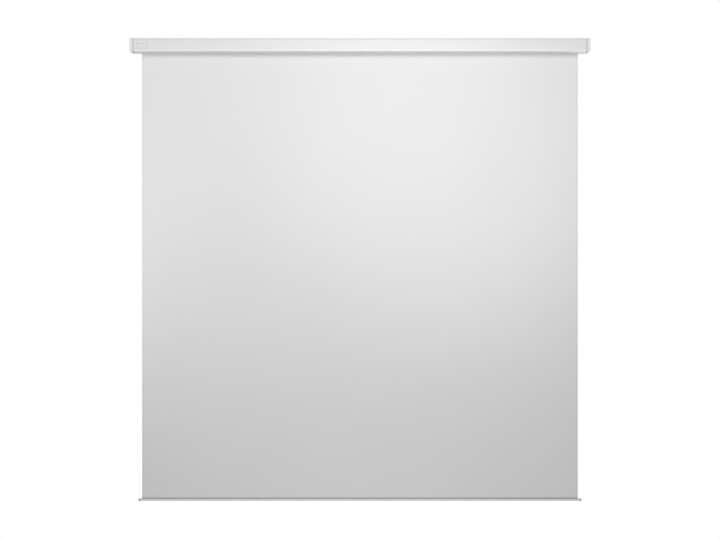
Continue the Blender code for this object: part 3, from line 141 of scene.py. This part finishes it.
# Floor and light
FLOOR_HEIGHT = -2.9
FLOOR_HALF_WIDTH = 4.5
FLOOR_FRONT = -6.5
FLOOR_BACK = 2.2
FLOOR_GLOW = 0.42
WORLD_STRENGTH = 0.42
LAMPS = (
    # name, place, size, power, aim
    ("high", (0.066, -1.903, 0.6), (1.384, 0.7), 15.5, (-0.1, 0.0, -1.07)),
    ("low", (0.14, -1.84, -0.775), (2.3, 0.585), 10.1, (-0.72, 0.0, -0.02)),
    ("left", (-1.384, -0.557, -0.723), (0.143, 1.393), 1.19, (-1.097, 0.0, -0.639)),
    ("bottom", (-0.054, -0.881, -2.457), (0.928, 0.129), 0.5, (0.508, 0.0, -2.6)),
    ("behind_low", (2.6, 0.95, -1.6), (1.0, 1.0), 19.0, (1.03, -0.04, -0.03)),
    ("behind_high", (0.2, 3.0, 0.3), (2.8, 1.4), 42.0, (0.0, 0.0, -1.1)),
)
SPOT_PLACE = (0.702, -3.123, -0.605)
SPOT_AIM = (0.554, 0.0, -0.57)
SPOT_ANGLE = 39.3
SPOT_POWER = 21.5
SPOT_RADIUS = 0.1

# Colour sockets of the Mix node, a wave's radians for each unit of its scale, and value ranges
MIX_DARKER = 6
MIX_LIGHTER = 7
MIX_RESULT = 2
WAVE_RADIANS = 20
UNIT = (0.0, 1.0)
NOISE_RANGE = (0.3, 0.7)


# Node helpers

class Look:
    """A Principled material that is built node by node in object space."""

    def __init__(self, name, colour, roughness, metallic=0.0):
        self.made = bpy.data.materials.new(name)
        self.made.use_nodes = True
        self.tree = self.made.node_tree
        self.shader = self.tree.nodes["Principled BSDF"]
        self.colour = colour
        self.set("Base Color", (*colour, 1.0))
        self.set("Roughness", roughness)
        self.set("Metallic", metallic)
        self.roughness = roughness
        self.place = self.node("ShaderNodeTexCoord").outputs["Object"]

    def set(self, socket, value):
        """A plain value on the shader's own socket."""
        self.shader.inputs[socket].default_value = value

    def node(self, kind, **settings):
        """A new node with its settings."""
        made = self.tree.nodes.new(kind)
        for key, value in settings.items():
            setattr(made, key, value)
        return made

    def link(self, one, other):
        """A link between two sockets."""
        self.tree.links.new(one, other)

    def noise(self, scale, detail=3.0, stretch=(1.0, 1.0, 1.0)):
        """Noise in object space; a stretch below 1 draws it out along that axis."""
        mapping = self.node("ShaderNodeMapping")
        mapping.inputs["Scale"].default_value = stretch
        self.link(self.place, mapping.inputs["Vector"])
        made = self.node("ShaderNodeTexNoise")
        made.inputs["Scale"].default_value = scale
        made.inputs["Detail"].default_value = detail
        self.link(mapping.outputs["Vector"], made.inputs["Vector"])
        return made.outputs["Fac"]

    def wave(self, direction, pitch, distortion):
        """Bands across an axis, pitch apart."""
        made = self.node("ShaderNodeTexWave", bands_direction=direction)
        made.inputs["Scale"].default_value = math.tau / WAVE_RADIANS / pitch
        made.inputs["Distortion"].default_value = distortion
        self.link(self.place, made.inputs["Vector"])
        return made.outputs["Fac"]

    def ranged(self, value, low, high, source=NOISE_RANGE):
        """A value moved from its source range, a noise's where none is given, to another."""
        made = self.node("ShaderNodeMapRange")
        made.inputs["From Min"].default_value = source[0]
        made.inputs["From Max"].default_value = source[1]
        made.inputs["To Min"].default_value = low
        made.inputs["To Max"].default_value = high
        self.link(value, made.inputs["Value"])
        return made.outputs["Result"]

    def zone(self, axis, low, high, mirrored=False):
        """1 between two places along one of the piece's axes, or at both sides of its middle, else 0."""
        apart = self.node("ShaderNodeSeparateXYZ")
        self.link(self.place, apart.inputs["Vector"])
        along = apart.outputs[axis]
        if mirrored:
            distance = self.node("ShaderNodeMath", operation="ABSOLUTE")
            self.link(along, distance.inputs[0])
            along = distance.outputs["Value"]
        limits = []
        for operation, limit in (("GREATER_THAN", low), ("LESS_THAN", high)):
            made = self.node("ShaderNodeMath", operation=operation)
            made.inputs[1].default_value = limit
            self.link(along, made.inputs[0])
            limits.append(made.outputs["Value"])
        return self.combined(*limits, "MULTIPLY")

    def combined(self, one, other, operation="ADD"):
        """Two values in one."""
        made = self.node("ShaderNodeMath", operation=operation)
        self.link(one, made.inputs[0])
        self.link(other, made.inputs[1])
        return made.outputs["Value"]

    def tint(self, value, darker, lighter=1.0):
        """Colour that varies with a value, as factors of the look's own colour."""
        made = self.node("ShaderNodeMix", data_type="RGBA")
        made.inputs[MIX_DARKER].default_value = (*(c * darker for c in self.colour), 1.0)
        made.inputs[MIX_LIGHTER].default_value = (*(min(1.0, c * lighter) for c in self.colour), 1.0)
        self.link(value, made.inputs[0])
        self.link(made.outputs[MIX_RESULT], self.shader.inputs["Base Color"])

    def rough(self, value, spread):
        """Roughness that varies round the look's own."""
        made = self.ranged(value, self.roughness - spread, self.roughness + spread)
        self.link(made, self.shader.inputs["Roughness"])

    def bump(self, value, depth, strength=1.0):
        """Fine relief, depth in metres."""
        made = self.node("ShaderNodeBump")
        made.inputs["Strength"].default_value = strength
        made.inputs["Distance"].default_value = depth
        self.link(value, made.inputs["Height"])
        self.link(made.outputs["Normal"], self.shader.inputs["Normal"])


def powder_coat(bottom):
    """Satin powder coat with a fine orange peel and a painted highlight along its lower lip, strongest at
    the lip's edge.
    """
    look = Look("case_powder_coat", (0.84, 0.84, 0.84), 0.42)
    look.set("Specular IOR Level", 0.4)
    look.bump(look.noise(520.0, detail=2.0), depth=0.00005, strength=0.6)
    look.rough(look.noise(60.0), spread=0.04)
    clouds = look.ranged(look.noise(3.0, detail=4.0), 0.0, COAT_CLOUDS)
    start = bottom + CASE_UNDERSIDE
    # Painted highlight: the lower lip, and most of all its edge, are coloured paler
    lip = look.ranged(look.zone("Z", start, bottom + LIP_HIGHLIGHT_HEIGHT), 0.0, LIP_HIGHLIGHT_SHARE, UNIT)
    edge = look.ranged(look.zone("Z", start, bottom + EDGE_HIGHLIGHT_HEIGHT), 0.0, EDGE_HIGHLIGHT_SHARE, UNIT)
    look.tint(look.combined(clouds, look.combined(lip, edge)), *COAT_CLOUD_AND_HIGHLIGHT_TINTS)
    return look.made


def grained(name, colour, roughness, grain=PLASTIC_GRAIN):
    """The look of a moulded plastic with a spark-eroded grain, of one colour so far."""
    look = Look(name, colour, roughness)
    look.bump(look.noise(grain, detail=2.0), depth=0.00004, strength=0.6)
    look.rough(look.noise(grain / 6), spread=0.05)
    return look


def moulded(name, colour, roughness, grain=PLASTIC_GRAIN):
    """Moulded plastic with faint clouds in its colour."""
    look = grained(name, colour, roughness, grain)
    look.tint(look.ranged(look.noise(14.0, detail=3.0), *UNIT), darker=0.97, lighter=1.01)
    return look.made


def end_cap_plastic(neck_start, rim_start, rim_end):
    """The caps' plastic: a white rim with a fine moulded line, and a neck beside the casing darkened with
    painted shade of its recess.
    """
    look = grained("cap_moulding", (0.93, 0.93, 0.93), 0.48)
    line_start = rim_end - CAP_LINE_FROM_END
    shaded_neck = look.zone("X", neck_start, rim_start, mirrored=True)
    line = look.zone("X", line_start, line_start + CAP_LINE, mirrored=True)
    # Painted shade: the recessed neck is coloured greyer, and the moulded line takes the same grey
    look.tint(look.ranged(look.combined(shaded_neck, line), 1.0, 0.0, UNIT), darker=CAP_NECK_SHADE_AND_LINE_GREY)
    return look.made


def plate_plastic(face, flange, end):
    """The cover plate's plastic: white face, and painted shade on the flange in the gap round it, with a
    painted shadow at one end.
    """
    look = Look("plate_moulding", (0.84, 0.84, 0.84), 0.4)
    look.bump(look.noise(1400.0, detail=2.0), depth=0.00002, strength=0.6)
    look.rough(look.noise(230.0), spread=0.05)
    # Painted shade in the gap round the plate, and a deeper painted shadow at its end
    gap = look.zone("Y", face, flange)
    end_shadow_zone = look.combined(gap, look.zone("X", end - PLATE_END_SHADOW_HALF_WIDTH, end + PLATE_END_SHADOW_HALF_WIDTH), "MULTIPLY")
    gap_shade = look.ranged(gap, 0.0, PLATE_GAP_SHADE_SHARE, UNIT)
    end_shadow = look.ranged(end_shadow_zone, 0.0, PLATE_END_SHADOW_SHARE, UNIT)
    painted_shade = look.combined(gap_shade, end_shadow)
    look.tint(look.ranged(painted_shade, 1.0, 0.0, UNIT), darker=PLATE_GAP_SHADE_GREY)
    return look.made


def plated_steel(name, colour, roughness, stretch=(1.0, 1.0, 1.0)):
    """Zinc plated steel: cloudy colour, fine scratches."""
    look = Look(name, colour, roughness, 1.0)
    look.rough(look.noise(160.0, detail=4.0, stretch=stretch), spread=0.1)
    look.bump(look.noise(700.0, detail=3.0, stretch=stretch), depth=0.00002, strength=0.5)
    look.tint(look.ranged(look.noise(45.0, detail=5.0), *UNIT), darker=0.86, lighter=1.06)
    return look.made


def drawn_metal(name, colour, roughness):
    """Drawn or extruded metal with lines along X."""
    look = Look(name, colour, roughness, 1.0)
    lines = look.noise(900.0, detail=4.0, stretch=(0.01, 1.0, 1.0))
    look.rough(lines, spread=0.09)
    look.bump(lines, depth=0.00002, strength=0.5)
    clouds = look.noise(20.0, detail=3.0, stretch=(0.1, 1.0, 1.0))
    look.tint(look.ranged(clouds, *UNIT), darker=0.92, lighter=1.03)
    return look.made


def soft_plastic(name, colour, roughness):
    """Rubber or cable jacket."""
    look = Look(name, colour, roughness)
    look.bump(look.noise(1400.0, detail=2.0), depth=0.00003, strength=0.5)
    look.rough(look.noise(200.0), spread=0.06)
    look.tint(look.ranged(look.noise(60.0, detail=3.0), *UNIT), darker=0.93, lighter=1.02)
    return look.made


def screen_cloth(name, colour, roughness, weave_depth, half_width):
    """Matt coated cloth: a fine plain weave under the coating, faint clouds, and painted shade in a strip
    along the side edges.
    """
    look = Look(name, colour, roughness)
    look.set("Specular IOR Level", 0.25)
    look.set("Sheen Weight", 0.08)
    look.set("Sheen Roughness", 0.6)
    threads = [look.wave(axis, WEAVE_PITCH, WEAVE_UNEVENNESS) for axis in ("X", "Z")]
    weave = look.combined(*threads, "MULTIPLY")
    coat = look.ranged(look.noise(2600.0, detail=2.0), 0.0, 0.5)
    look.bump(look.combined(weave, coat), depth=weave_depth, strength=0.5)
    look.rough(look.noise(400.0, detail=2.0), spread=0.03)
    clouds = look.ranged(look.noise(2.2, detail=3.0), CLOTH_CLOUDS, 1.0)
    # Painted shade: a strip along each side edge is coloured darker
    strip = look.zone("X", half_width - CLOTH_EDGE_SHADE_WIDTH, half_width + CLOTH_EDGE_SHADE_WIDTH, mirrored=True)
    inside = look.ranged(strip, 1.0, 0.0, UNIT)
    look.tint(look.combined(clouds, inside, "MULTIPLY"), *CLOTH_CLOUD_AND_EDGE_SHADE_TINTS)
    return look.made


# Mesh helpers

def arc(centre, radius, start, end, steps):
    """Points along an arc, angles in radians, both ends included."""
    angles = [start + (end - start) * i / steps for i in range(steps + 1)]
    return [(centre[0] + radius * math.cos(a), centre[1] + radius * math.sin(a)) for a in angles]


def thickened(path, thickness):
    """A strip of even thickness along an open path, as a closed outline."""
    sides = ([], [])
    for i, point in enumerate(path):
        here = Vector(point)
        arriving = (here - Vector(path[i - 1])).normalized() if i else None
        leaving = (Vector(path[i + 1]) - here).normalized() if i + 1 < len(path) else arriving
        arriving = arriving or leaving
        across = Vector((-arriving.y - leaving.y, arriving.x + leaving.x)) / (1 + arriving.dot(leaving))
        sides[0].append(tuple(here + across * thickness / 2))
        sides[1].append(tuple(here - across * thickness / 2))
    return sides[0] + sides[1][::-1]


def finished(name, bm, body, looks, nodes):
    """A mesh piece that rides on a body and stands for CAD nodes."""
    bmesh.ops.recalc_face_normals(bm, faces=bm.faces)
    mesh = bpy.data.meshes.new(name)
    bm.to_mesh(mesh)
    bm.free()
    mesh.shade_smooth()
    mesh.set_sharp_from_angle(angle=math.radians(SHARP_ANGLE))
    for look in looks:
        mesh.materials.append(look)
    made = bpy.data.objects.new(name, mesh)
    bpy.context.scene.collection.objects.link(made)
    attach(made, body)
    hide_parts(*nodes)
    return made


def eased(t):
    """A smooth step from 0 to 1."""
    t = max(0.0, min(1.0, t))
    return t * t * (3 - 2 * t)


# Hanging sheet

def sheet_stations(half_width):
    """Places across the sheet, closer together at its side edges."""
    near = (0.0, CURL_WIDTH / 2, CURL_WIDTH - CURL_BEND, CURL_WIDTH + CURL_BEND, *NEAR_EDGE)
    left = [-half_width + step for step in near]
    inner = half_width - near[-1]
    middle = [-inner + 2 * inner * i / SHEET_COLUMNS for i in range(1, SHEET_COLUMNS)]
    return left + middle + [-x for x in reversed(left)]


def sheet_heights(top, bottom):
    """Places down the sheet, closer together at its lower end."""
    drop = top - bottom
    return [top - drop * (1 - (1 - i / SHEET_ROWS) ** SHEET_CROWDING) for i in range(SHEET_ROWS + 1)]


def set_back(x, z, half_width, top, bottom):
    """How far the cloth stands behind its flat plane: side strips that lean back and a faint ripple.

    The ripple is a field of slow bulges with slanted waves over it, and never comes before the plane.
    """
    above_hem = z - bottom
    hung = eased((top - z) / CURL_FADE_TOP)
    growth = 1 - eased(above_hem / CURL_GROWTH_HEIGHT)
    depth = CURL_DEPTH_HIGH + (CURL_DEPTH_LOW - CURL_DEPTH_HIGH) * growth
    from_edge = half_width - abs(x)
    curl = depth * max(0.0, 1 - from_edge / CURL_WIDTH)
    bulges = math.sin(BULGE_ACROSS * x + BULGE_STARTS[0]) * math.sin(BULGE_DOWN * z + BULGE_STARTS[1])
    waves = bulges + SLANT_SHARE * math.sin(SLANT_ACROSS * x - SLANT_DOWN * z)
    ripple = RIPPLE * (RIPPLE_MIDDLE + waves)
    return hung * (eased(above_hem / CURL_FADE_HEM) * curl + eased(above_hem / RIPPLE_FADE_HEM) * ripple)


def hanging_sheet(looks):
    """The flat cloth from the roller's rear tangent to the hem.

    It rides with the rod.
    """
    low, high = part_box("screen_fabric")
    plane = (low.y + high.y) / 2
    half_width = high.x
    top = 0.0
    bottom = low.z - CLOTH_THICKNESS
    across = sheet_stations(half_width)
    down = sheet_heights(top, bottom)
    bm = bmesh.new()
    sides = []
    for offset in (-CLOTH_THICKNESS / 2, CLOTH_THICKNESS / 2):
        rows = []
        for z in down:
            places = [plane + offset + set_back(x, z, half_width, top, bottom) for x in across]
            rows.append([bm.verts.new((x, y, z)) for x, y in zip(across, places)])
        sides.append(rows)
    front, back = sides
    last_row, last = len(down) - 1, len(across) - 1
    for rows in sides:
        for i in range(last_row):
            for j in range(last):
                bm.faces.new((rows[i][j], rows[i][j + 1], rows[i + 1][j + 1], rows[i + 1][j]))
    for i in range(last_row):
        for j in (0, last):
            bm.faces.new((front[i][j], front[i + 1][j], back[i + 1][j], back[i][j]))
    for j in range(last):
        for i in (0, last_row):
            bm.faces.new((front[i][j], front[i][j + 1], back[i][j + 1], back[i][j]))
    sheet = finished("screen_sheet", bm, HEM_BODY, looks, ["screen_fabric"])
    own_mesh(sheet)
    return sheet, (2 * half_width, top - bottom)


# Hem

def hem_side(radius, top):
    """One side of the hem's section, as (half thickness, height over the rod's axis), top to bottom.

    The weld is pressed into the strip and runs down on to the shoulder over the rod.
    """
    layer = CLOTH_THICKNESS
    touch = math.asin((radius - layer) / POCKET_PEAK)
    shoulder = Vector((radius * math.cos(touch), radius * math.sin(touch)))
    peak = Vector((layer, POCKET_PEAK))
    weld_foot = peak.lerp(shoulder, (POCKET_PEAK - WELD_LOW) / (POCKET_PEAK - shoulder.y))
    strip = [
        (layer, top),
        (layer, WELD_HIGH + 2 * WELD_PRESS),
        (layer - WELD_PRESS, WELD_HIGH),
        (layer - WELD_PRESS, POCKET_PEAK),
        tuple(weld_foot),
    ]
    return strip + arc((0, 0), radius, touch, -math.pi / 2, HEM_STEPS)[:-1]


def inner_side(radius):
    """The inside of the hem's pocket, point for point with hem_side."""
    peak = POCKET_PEAK - 2 * CLOTH_THICKNESS
    touch = math.asin(radius / peak)
    fan = [(PEAK_SPREAD * i, peak - PEAK_DROP * i) for i in range(1, STRIP_POINTS + 1)]
    return fan + arc((0, 0), radius, touch, -math.pi / 2, HEM_STEPS)[:-1]


def hem(looks):
    """The pocket round the rod with its pressed weld, whose dark grey is partly painted shade of the
    crease over the rod.
    """
    low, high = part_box("hem_pocket")
    rod_low, rod_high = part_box("weight_rod")
    axis = ((rod_low.y + rod_high.y) / 2, (rod_low.z + rod_high.z) / 2)
    outer = axis[1] - low.z
    inner = outer - CLOTH_THICKNESS
    outlines = []
    for side, radius in ((hem_side(outer, high.z - axis[1]), outer), (inner_side(inner), inner)):
        mirrored = [(-a, b) for a, b in reversed(side)]
        outlines.append(side + [(0.0, -radius)] + mirrored)
    stations = [low.x + (high.x - low.x) * i / HEM_COLUMNS for i in range(HEM_COLUMNS + 1)]
    bm = bmesh.new()
    shells = []
    for outline in outlines:
        rings = []
        for x in stations:
            near_end = max(0.0, 1 - (high.x - abs(x)) / HEM_SWELL_LENGTH)
            swell = 1 + HEM_SWELL * near_end * math.sin(HEM_SWELL_WAVES * x)
            rings.append([bm.verts.new((x, axis[0] + a * swell, axis[1] + b)) for a, b in outline])
        shells.append(rings)
    size = len(outlines[0])
    for rings in shells:
        for one, other in zip(rings, rings[1:]):
            for i in range(size):
                j = (i + 1) % size
                face = bm.faces.new((one[i], one[j], other[j], other[i]))
                face.material_index = int(rings is shells[0] and min(i, size - 2 - i) in WELD_AND_SHADE_BANDS)
    for end in (0, -1):
        around, within = (rings[end] for rings in shells)
        for i in range(size):
            j = (i + 1) % size
            bm.faces.new((around[i], around[j], within[j], within[i]))
    return finished("hem_cloth", bm, HEM_BODY, looks, ["hem_pocket"])


# Turns on the roller

def wound_turns(looks):
    """The turns that stay on the tube, one unbroken strip from the rear tangent into the tube's slot."""
    low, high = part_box("wound_fabric")
    tube_low, tube_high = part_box("roller_tube")
    axis = ((tube_low.y + tube_high.y) / 2, (tube_low.z + tube_high.z) / 2)
    hang = FIRST_TURN_RADIUS + SAFETY_TURNS * TURN_PITCH
    stop = math.tau * SAFETY_TURNS - FEED_BEND / FIRST_TURN_RADIUS
    path = []
    for i in range(TURN_STEPS + 1):
        angle = stop * i / TURN_STEPS
        radius = hang - TURN_PITCH * angle / math.tau
        path.append((radius * math.cos(angle), radius * math.sin(angle)))
    bend = (FEED_BEND, FIRST_TURN_RADIUS - FEED_BEND)
    path += arc(bend, FEED_BEND, math.pi / 2, math.pi, FEED_STEPS)[1:]
    path.append((0.0, CORD_TOP))
    outline = [(axis[0] + a, axis[1] + b) for a, b in thickened(path, CLOTH_THICKNESS)]
    bm = bmesh.new()
    rings = [[bm.verts.new((x, a, b)) for a, b in outline] for x in (low.x, high.x)]
    bm.faces.new(rings[0])
    bm.faces.new(rings[1])
    for i in range(len(outline)):
        j = (i + 1) % len(outline)
        bm.faces.new((rings[0][i], rings[0][j], rings[1][j], rings[1][i]))
    turns = finished("wound_cloth", bm, "roller", looks, ["wound_fabric"])
    length = sum(math.dist(a, b) for a, b in zip(path, path[1:]))
    return turns, (high.x - low.x, length)


# Finishes of the CAD pieces

def soft_shading():
    """A node group that welds a piece's facets and shades it smooth but for its sharp edges."""
    tree = bpy.data.node_groups.new("soft_shading", "GeometryNodeTree")
    tree.interface.new_socket("Geometry", in_out="INPUT", socket_type="NodeSocketGeometry")
    tree.interface.new_socket("Geometry", in_out="OUTPUT", socket_type="NodeSocketGeometry")
    start = tree.nodes.new("NodeGroupInput")
    merge = tree.nodes.new("GeometryNodeMergeByDistance")
    merge.inputs["Distance"].default_value = MERGE_DISTANCE
    faces = tree.nodes.new("GeometryNodeSetShadeSmooth")
    faces.domain = "FACE"
    edges = tree.nodes.new("GeometryNodeSetShadeSmooth")
    edges.domain = "EDGE"
    edges.inputs["Shade Smooth"].default_value = False
    angle = tree.nodes.new("GeometryNodeInputMeshEdgeAngle")
    compare = tree.nodes.new("FunctionNodeCompare")
    compare.data_type = "FLOAT"
    compare.operation = "GREATER_THAN"
    compare.inputs["B"].default_value = math.radians(FACET_ANGLE)
    end = tree.nodes.new("NodeGroupOutput")
    link = tree.links.new
    link(start.outputs[0], merge.inputs["Geometry"])
    link(merge.outputs["Geometry"], faces.inputs["Geometry"])
    link(faces.outputs["Geometry"], edges.inputs["Geometry"])
    link(angle.outputs["Unsigned Angle"], compare.inputs["A"])
    link(compare.outputs["Result"], edges.inputs["Selection"])
    link(edges.outputs["Geometry"], end.inputs[0])
    return tree


def dress(finishes):
    """Give every CAD piece its finish and its shading."""
    group = soft_shading()
    for name, node in frame["nodes"].items():
        node.material_slots[0].material = finishes[name]
        smooth = node.modifiers.new("soft_shading", "NODES")
        smooth.node_group = group
        weighted = node.modifiers.new("weighted_normals", "WEIGHTED_NORMAL")
        weighted.keep_sharp = True
        weighted.weight = NORMAL_WEIGHT


# Floor, light and camera

def looked_at(tree):
    """1 for a ray of the camera, also by way of gloss or glass, and 0 for a ray that only lights."""
    path = tree.nodes.new("ShaderNodeLightPath")
    value = path.outputs["Is Camera Ray"]
    for kind in ("Is Glossy Ray", "Is Transmission Ray"):
        either = tree.nodes.new("ShaderNodeMath")
        either.operation = "MAXIMUM"
        tree.links.new(value, either.inputs[0])
        tree.links.new(path.outputs[kind], either.inputs[1])
        value = either.outputs["Value"]
    return value


def backdrop():
    """A plain pale floor below the screen and a white world behind it."""
    look = Look("pale_floor", (0.82, 0.82, 0.82), 0.7)
    look.tint(look.ranged(look.noise(1.2, detail=3.0), *UNIT), darker=0.985)
    look.set("Emission Color", (1.0, 1.0, 1.0, 1.0))
    glow = look.ranged(looked_at(look.tree), 0.0, FLOOR_GLOW, UNIT)
    look.link(glow, look.shader.inputs["Emission Strength"])
    bm = bmesh.new()
    corners = [
        (-FLOOR_HALF_WIDTH, FLOOR_FRONT),
        (FLOOR_HALF_WIDTH, FLOOR_FRONT),
        (FLOOR_HALF_WIDTH, FLOOR_BACK),
        (-FLOOR_HALF_WIDTH, FLOOR_BACK),
    ]
    bm.faces.new([bm.verts.new((x, y, FLOOR_HEIGHT)) for x, y in corners])
    mesh = bpy.data.meshes.new("floor")
    bm.to_mesh(mesh)
    bm.free()
    mesh.materials.append(look.made)
    floor = bpy.data.objects.new("floor", mesh)
    bpy.context.scene.collection.objects.link(floor)

    world = bpy.data.worlds.new("studio")
    world.use_nodes = True
    bpy.context.scene.world = world
    nodes, links = world.node_tree.nodes, world.node_tree.links
    lit = nodes["Background"]
    lit.inputs["Color"].default_value = (1.0, 1.0, 1.0, 1.0)
    lit.inputs["Strength"].default_value = WORLD_STRENGTH
    seen = nodes.new("ShaderNodeBackground")
    seen.inputs["Color"].default_value = (1.0, 1.0, 1.0, 1.0)
    mixed = nodes.new("ShaderNodeMixShader")
    links.new(looked_at(world.node_tree), mixed.inputs["Fac"])
    links.new(lit.outputs["Background"], mixed.inputs[1])
    links.new(seen.outputs["Background"], mixed.inputs[2])
    links.new(mixed.outputs["Shader"], nodes["World Output"].inputs["Surface"])


def lamp(name, place, size, power, aim):
    """A soft rectangular lamp that the camera doesn't see."""
    light = bpy.data.lights.new(name, "AREA")
    light.shape = "RECTANGLE"
    light.size, light.size_y = size
    light.energy = power
    aimed(name, light, place, aim)


def spot(name, place, angle, power, aim):
    """A round lamp whose cone fades from its middle to its edge."""
    light = bpy.data.lights.new(name, "SPOT")
    light.spot_size = math.radians(angle)
    light.spot_blend = 1.0
    light.shadow_soft_size = SPOT_RADIUS
    light.energy = power
    aimed(name, light, place, aim)


def aimed(name, light, place, aim):
    """A lamp's object, turned to its aim."""
    made = bpy.data.objects.new(name, light)
    made.location = place
    made.rotation_mode = "QUATERNION"
    made.rotation_quaternion = (Vector(aim) - Vector(place)).to_track_quat("-Z", "Y")
    made.visible_camera = False
    bpy.context.scene.collection.objects.link(made)


def camera():
    """The photograph's view: level, straight on."""
    low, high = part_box("case_shell")
    lens = bpy.data.cameras.new("camera")
    lens.sensor_width = SENSOR_WIDTH
    lens.lens = FOCAL_PIXELS * SENSOR_WIDTH / IMAGE_WIDTH
    made = bpy.data.objects.new("camera", lens)
    made.location = (CAMERA_SIDEWAYS, low.y - CAMERA_FROM_CASING, low.z - CAMERA_BELOW_CASING)
    made.rotation_euler = (math.pi / 2, 0.0, 0.0)
    bpy.context.scene.collection.objects.link(made)
    bpy.context.scene.camera = made


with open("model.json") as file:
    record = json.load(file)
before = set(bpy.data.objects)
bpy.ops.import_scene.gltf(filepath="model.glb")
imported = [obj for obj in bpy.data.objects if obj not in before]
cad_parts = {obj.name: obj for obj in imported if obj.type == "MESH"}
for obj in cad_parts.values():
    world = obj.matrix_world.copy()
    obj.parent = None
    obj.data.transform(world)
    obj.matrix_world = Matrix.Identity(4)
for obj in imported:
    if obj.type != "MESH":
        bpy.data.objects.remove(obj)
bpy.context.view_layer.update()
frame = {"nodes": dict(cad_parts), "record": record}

case_low, case_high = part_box("case_shell")
cap_low, cap_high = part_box("end_cap_right")
plate_low, plate_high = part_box("front_cover_plate")
paint = powder_coat(case_low.z)
cap_moulding = end_cap_plastic(case_high.x - CAP_SEAM, cap_high.x - CAP_RIM, cap_high.x)
plate_moulding = plate_plastic(plate_low.y + PLATE_SHADOW, plate_high.y + PLATE_SHADOW, plate_high.x)
white_moulding = moulded("white_moulding", (0.8, 0.8, 0.8), 0.48)
receiver_moulding = moulded("receiver_moulding", (0.8, 0.8, 0.79), 0.5)
cover_moulding = moulded("cover_moulding", (0.42, 0.42, 0.43), 0.5)
knob_moulding = moulded("knob_moulding", (0.6, 0.6, 0.61), 0.5)
black_moulding = moulded("black_moulding", (0.03, 0.03, 0.032), 0.5)
yellow_moulding = moulded("yellow_moulding", (0.75, 0.6, 0.05), 0.45)
natural_nylon = moulded("natural_nylon", (0.72, 0.71, 0.67), 0.5, grain=500.0)
zinc = plated_steel("zinc_plate", (0.58, 0.59, 0.6), 0.36)
rod_zinc = plated_steel("rod_zinc", (0.5, 0.51, 0.52), 0.4, stretch=(0.02, 1.0, 1.0))
motor_tube = drawn_metal("motor_tube", (0.66, 0.67, 0.68), 0.3)
mill_aluminium = drawn_metal("mill_aluminium", (0.75, 0.76, 0.77), 0.36)
jacket = soft_plastic("lead_jacket", (0.66, 0.66, 0.66), 0.55)
black_rubber = soft_plastic("black_rubber", (0.04, 0.04, 0.04), 0.75)
cloth_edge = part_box("screen_fabric")[1].x
cloth = screen_cloth("projection_cloth", (0.86, 0.86, 0.86), 0.85, 0.00006, cloth_edge)
# The weld's dark grey is partly painted shade of the crease above the rod
weld = screen_cloth("weld_and_crease_shade", (0.4, 0.4, 0.4), 0.6, 0.00003, cloth_edge)

BY_SLOT = {
    "case_paint": paint,
    "plate_plastic": plate_moulding,
    "cap_plastic": cap_moulding,
    "zinc_steel": zinc,
    "motor_steel": motor_tube,
    "head_plastic": black_moulding,
    "nylon": natural_nylon,
    "receiver_plastic": receiver_moulding,
    "receiver_cover_plastic": cover_moulding,
    "inlet_plastic": black_moulding,
    "lead_jacket": jacket,
    "rubber": black_rubber,
    "aluminium": mill_aluminium,
    "screen_fabric": cloth,
    "rod_steel": rod_zinc,
    "knob_plastic": knob_moulding,
    "screw_yellow": yellow_moulding,
    "screw_white": white_moulding,
}
dress({row["node"]: BY_SLOT[row["material_slot"]] for row in frame["record"]["subparts"]})

sheet, sheet_flat = hanging_sheet([cloth])
hem_cloth = hem([cloth, weld])
turns, turns_flat = wound_turns([cloth])

backdrop()
for row in LAMPS:
    lamp(*row)
spot("middle", SPOT_PLACE, SPOT_ANGLE, SPOT_POWER, SPOT_AIM)
camera()
bpy.context.scene.view_settings.view_transform = "Standard"
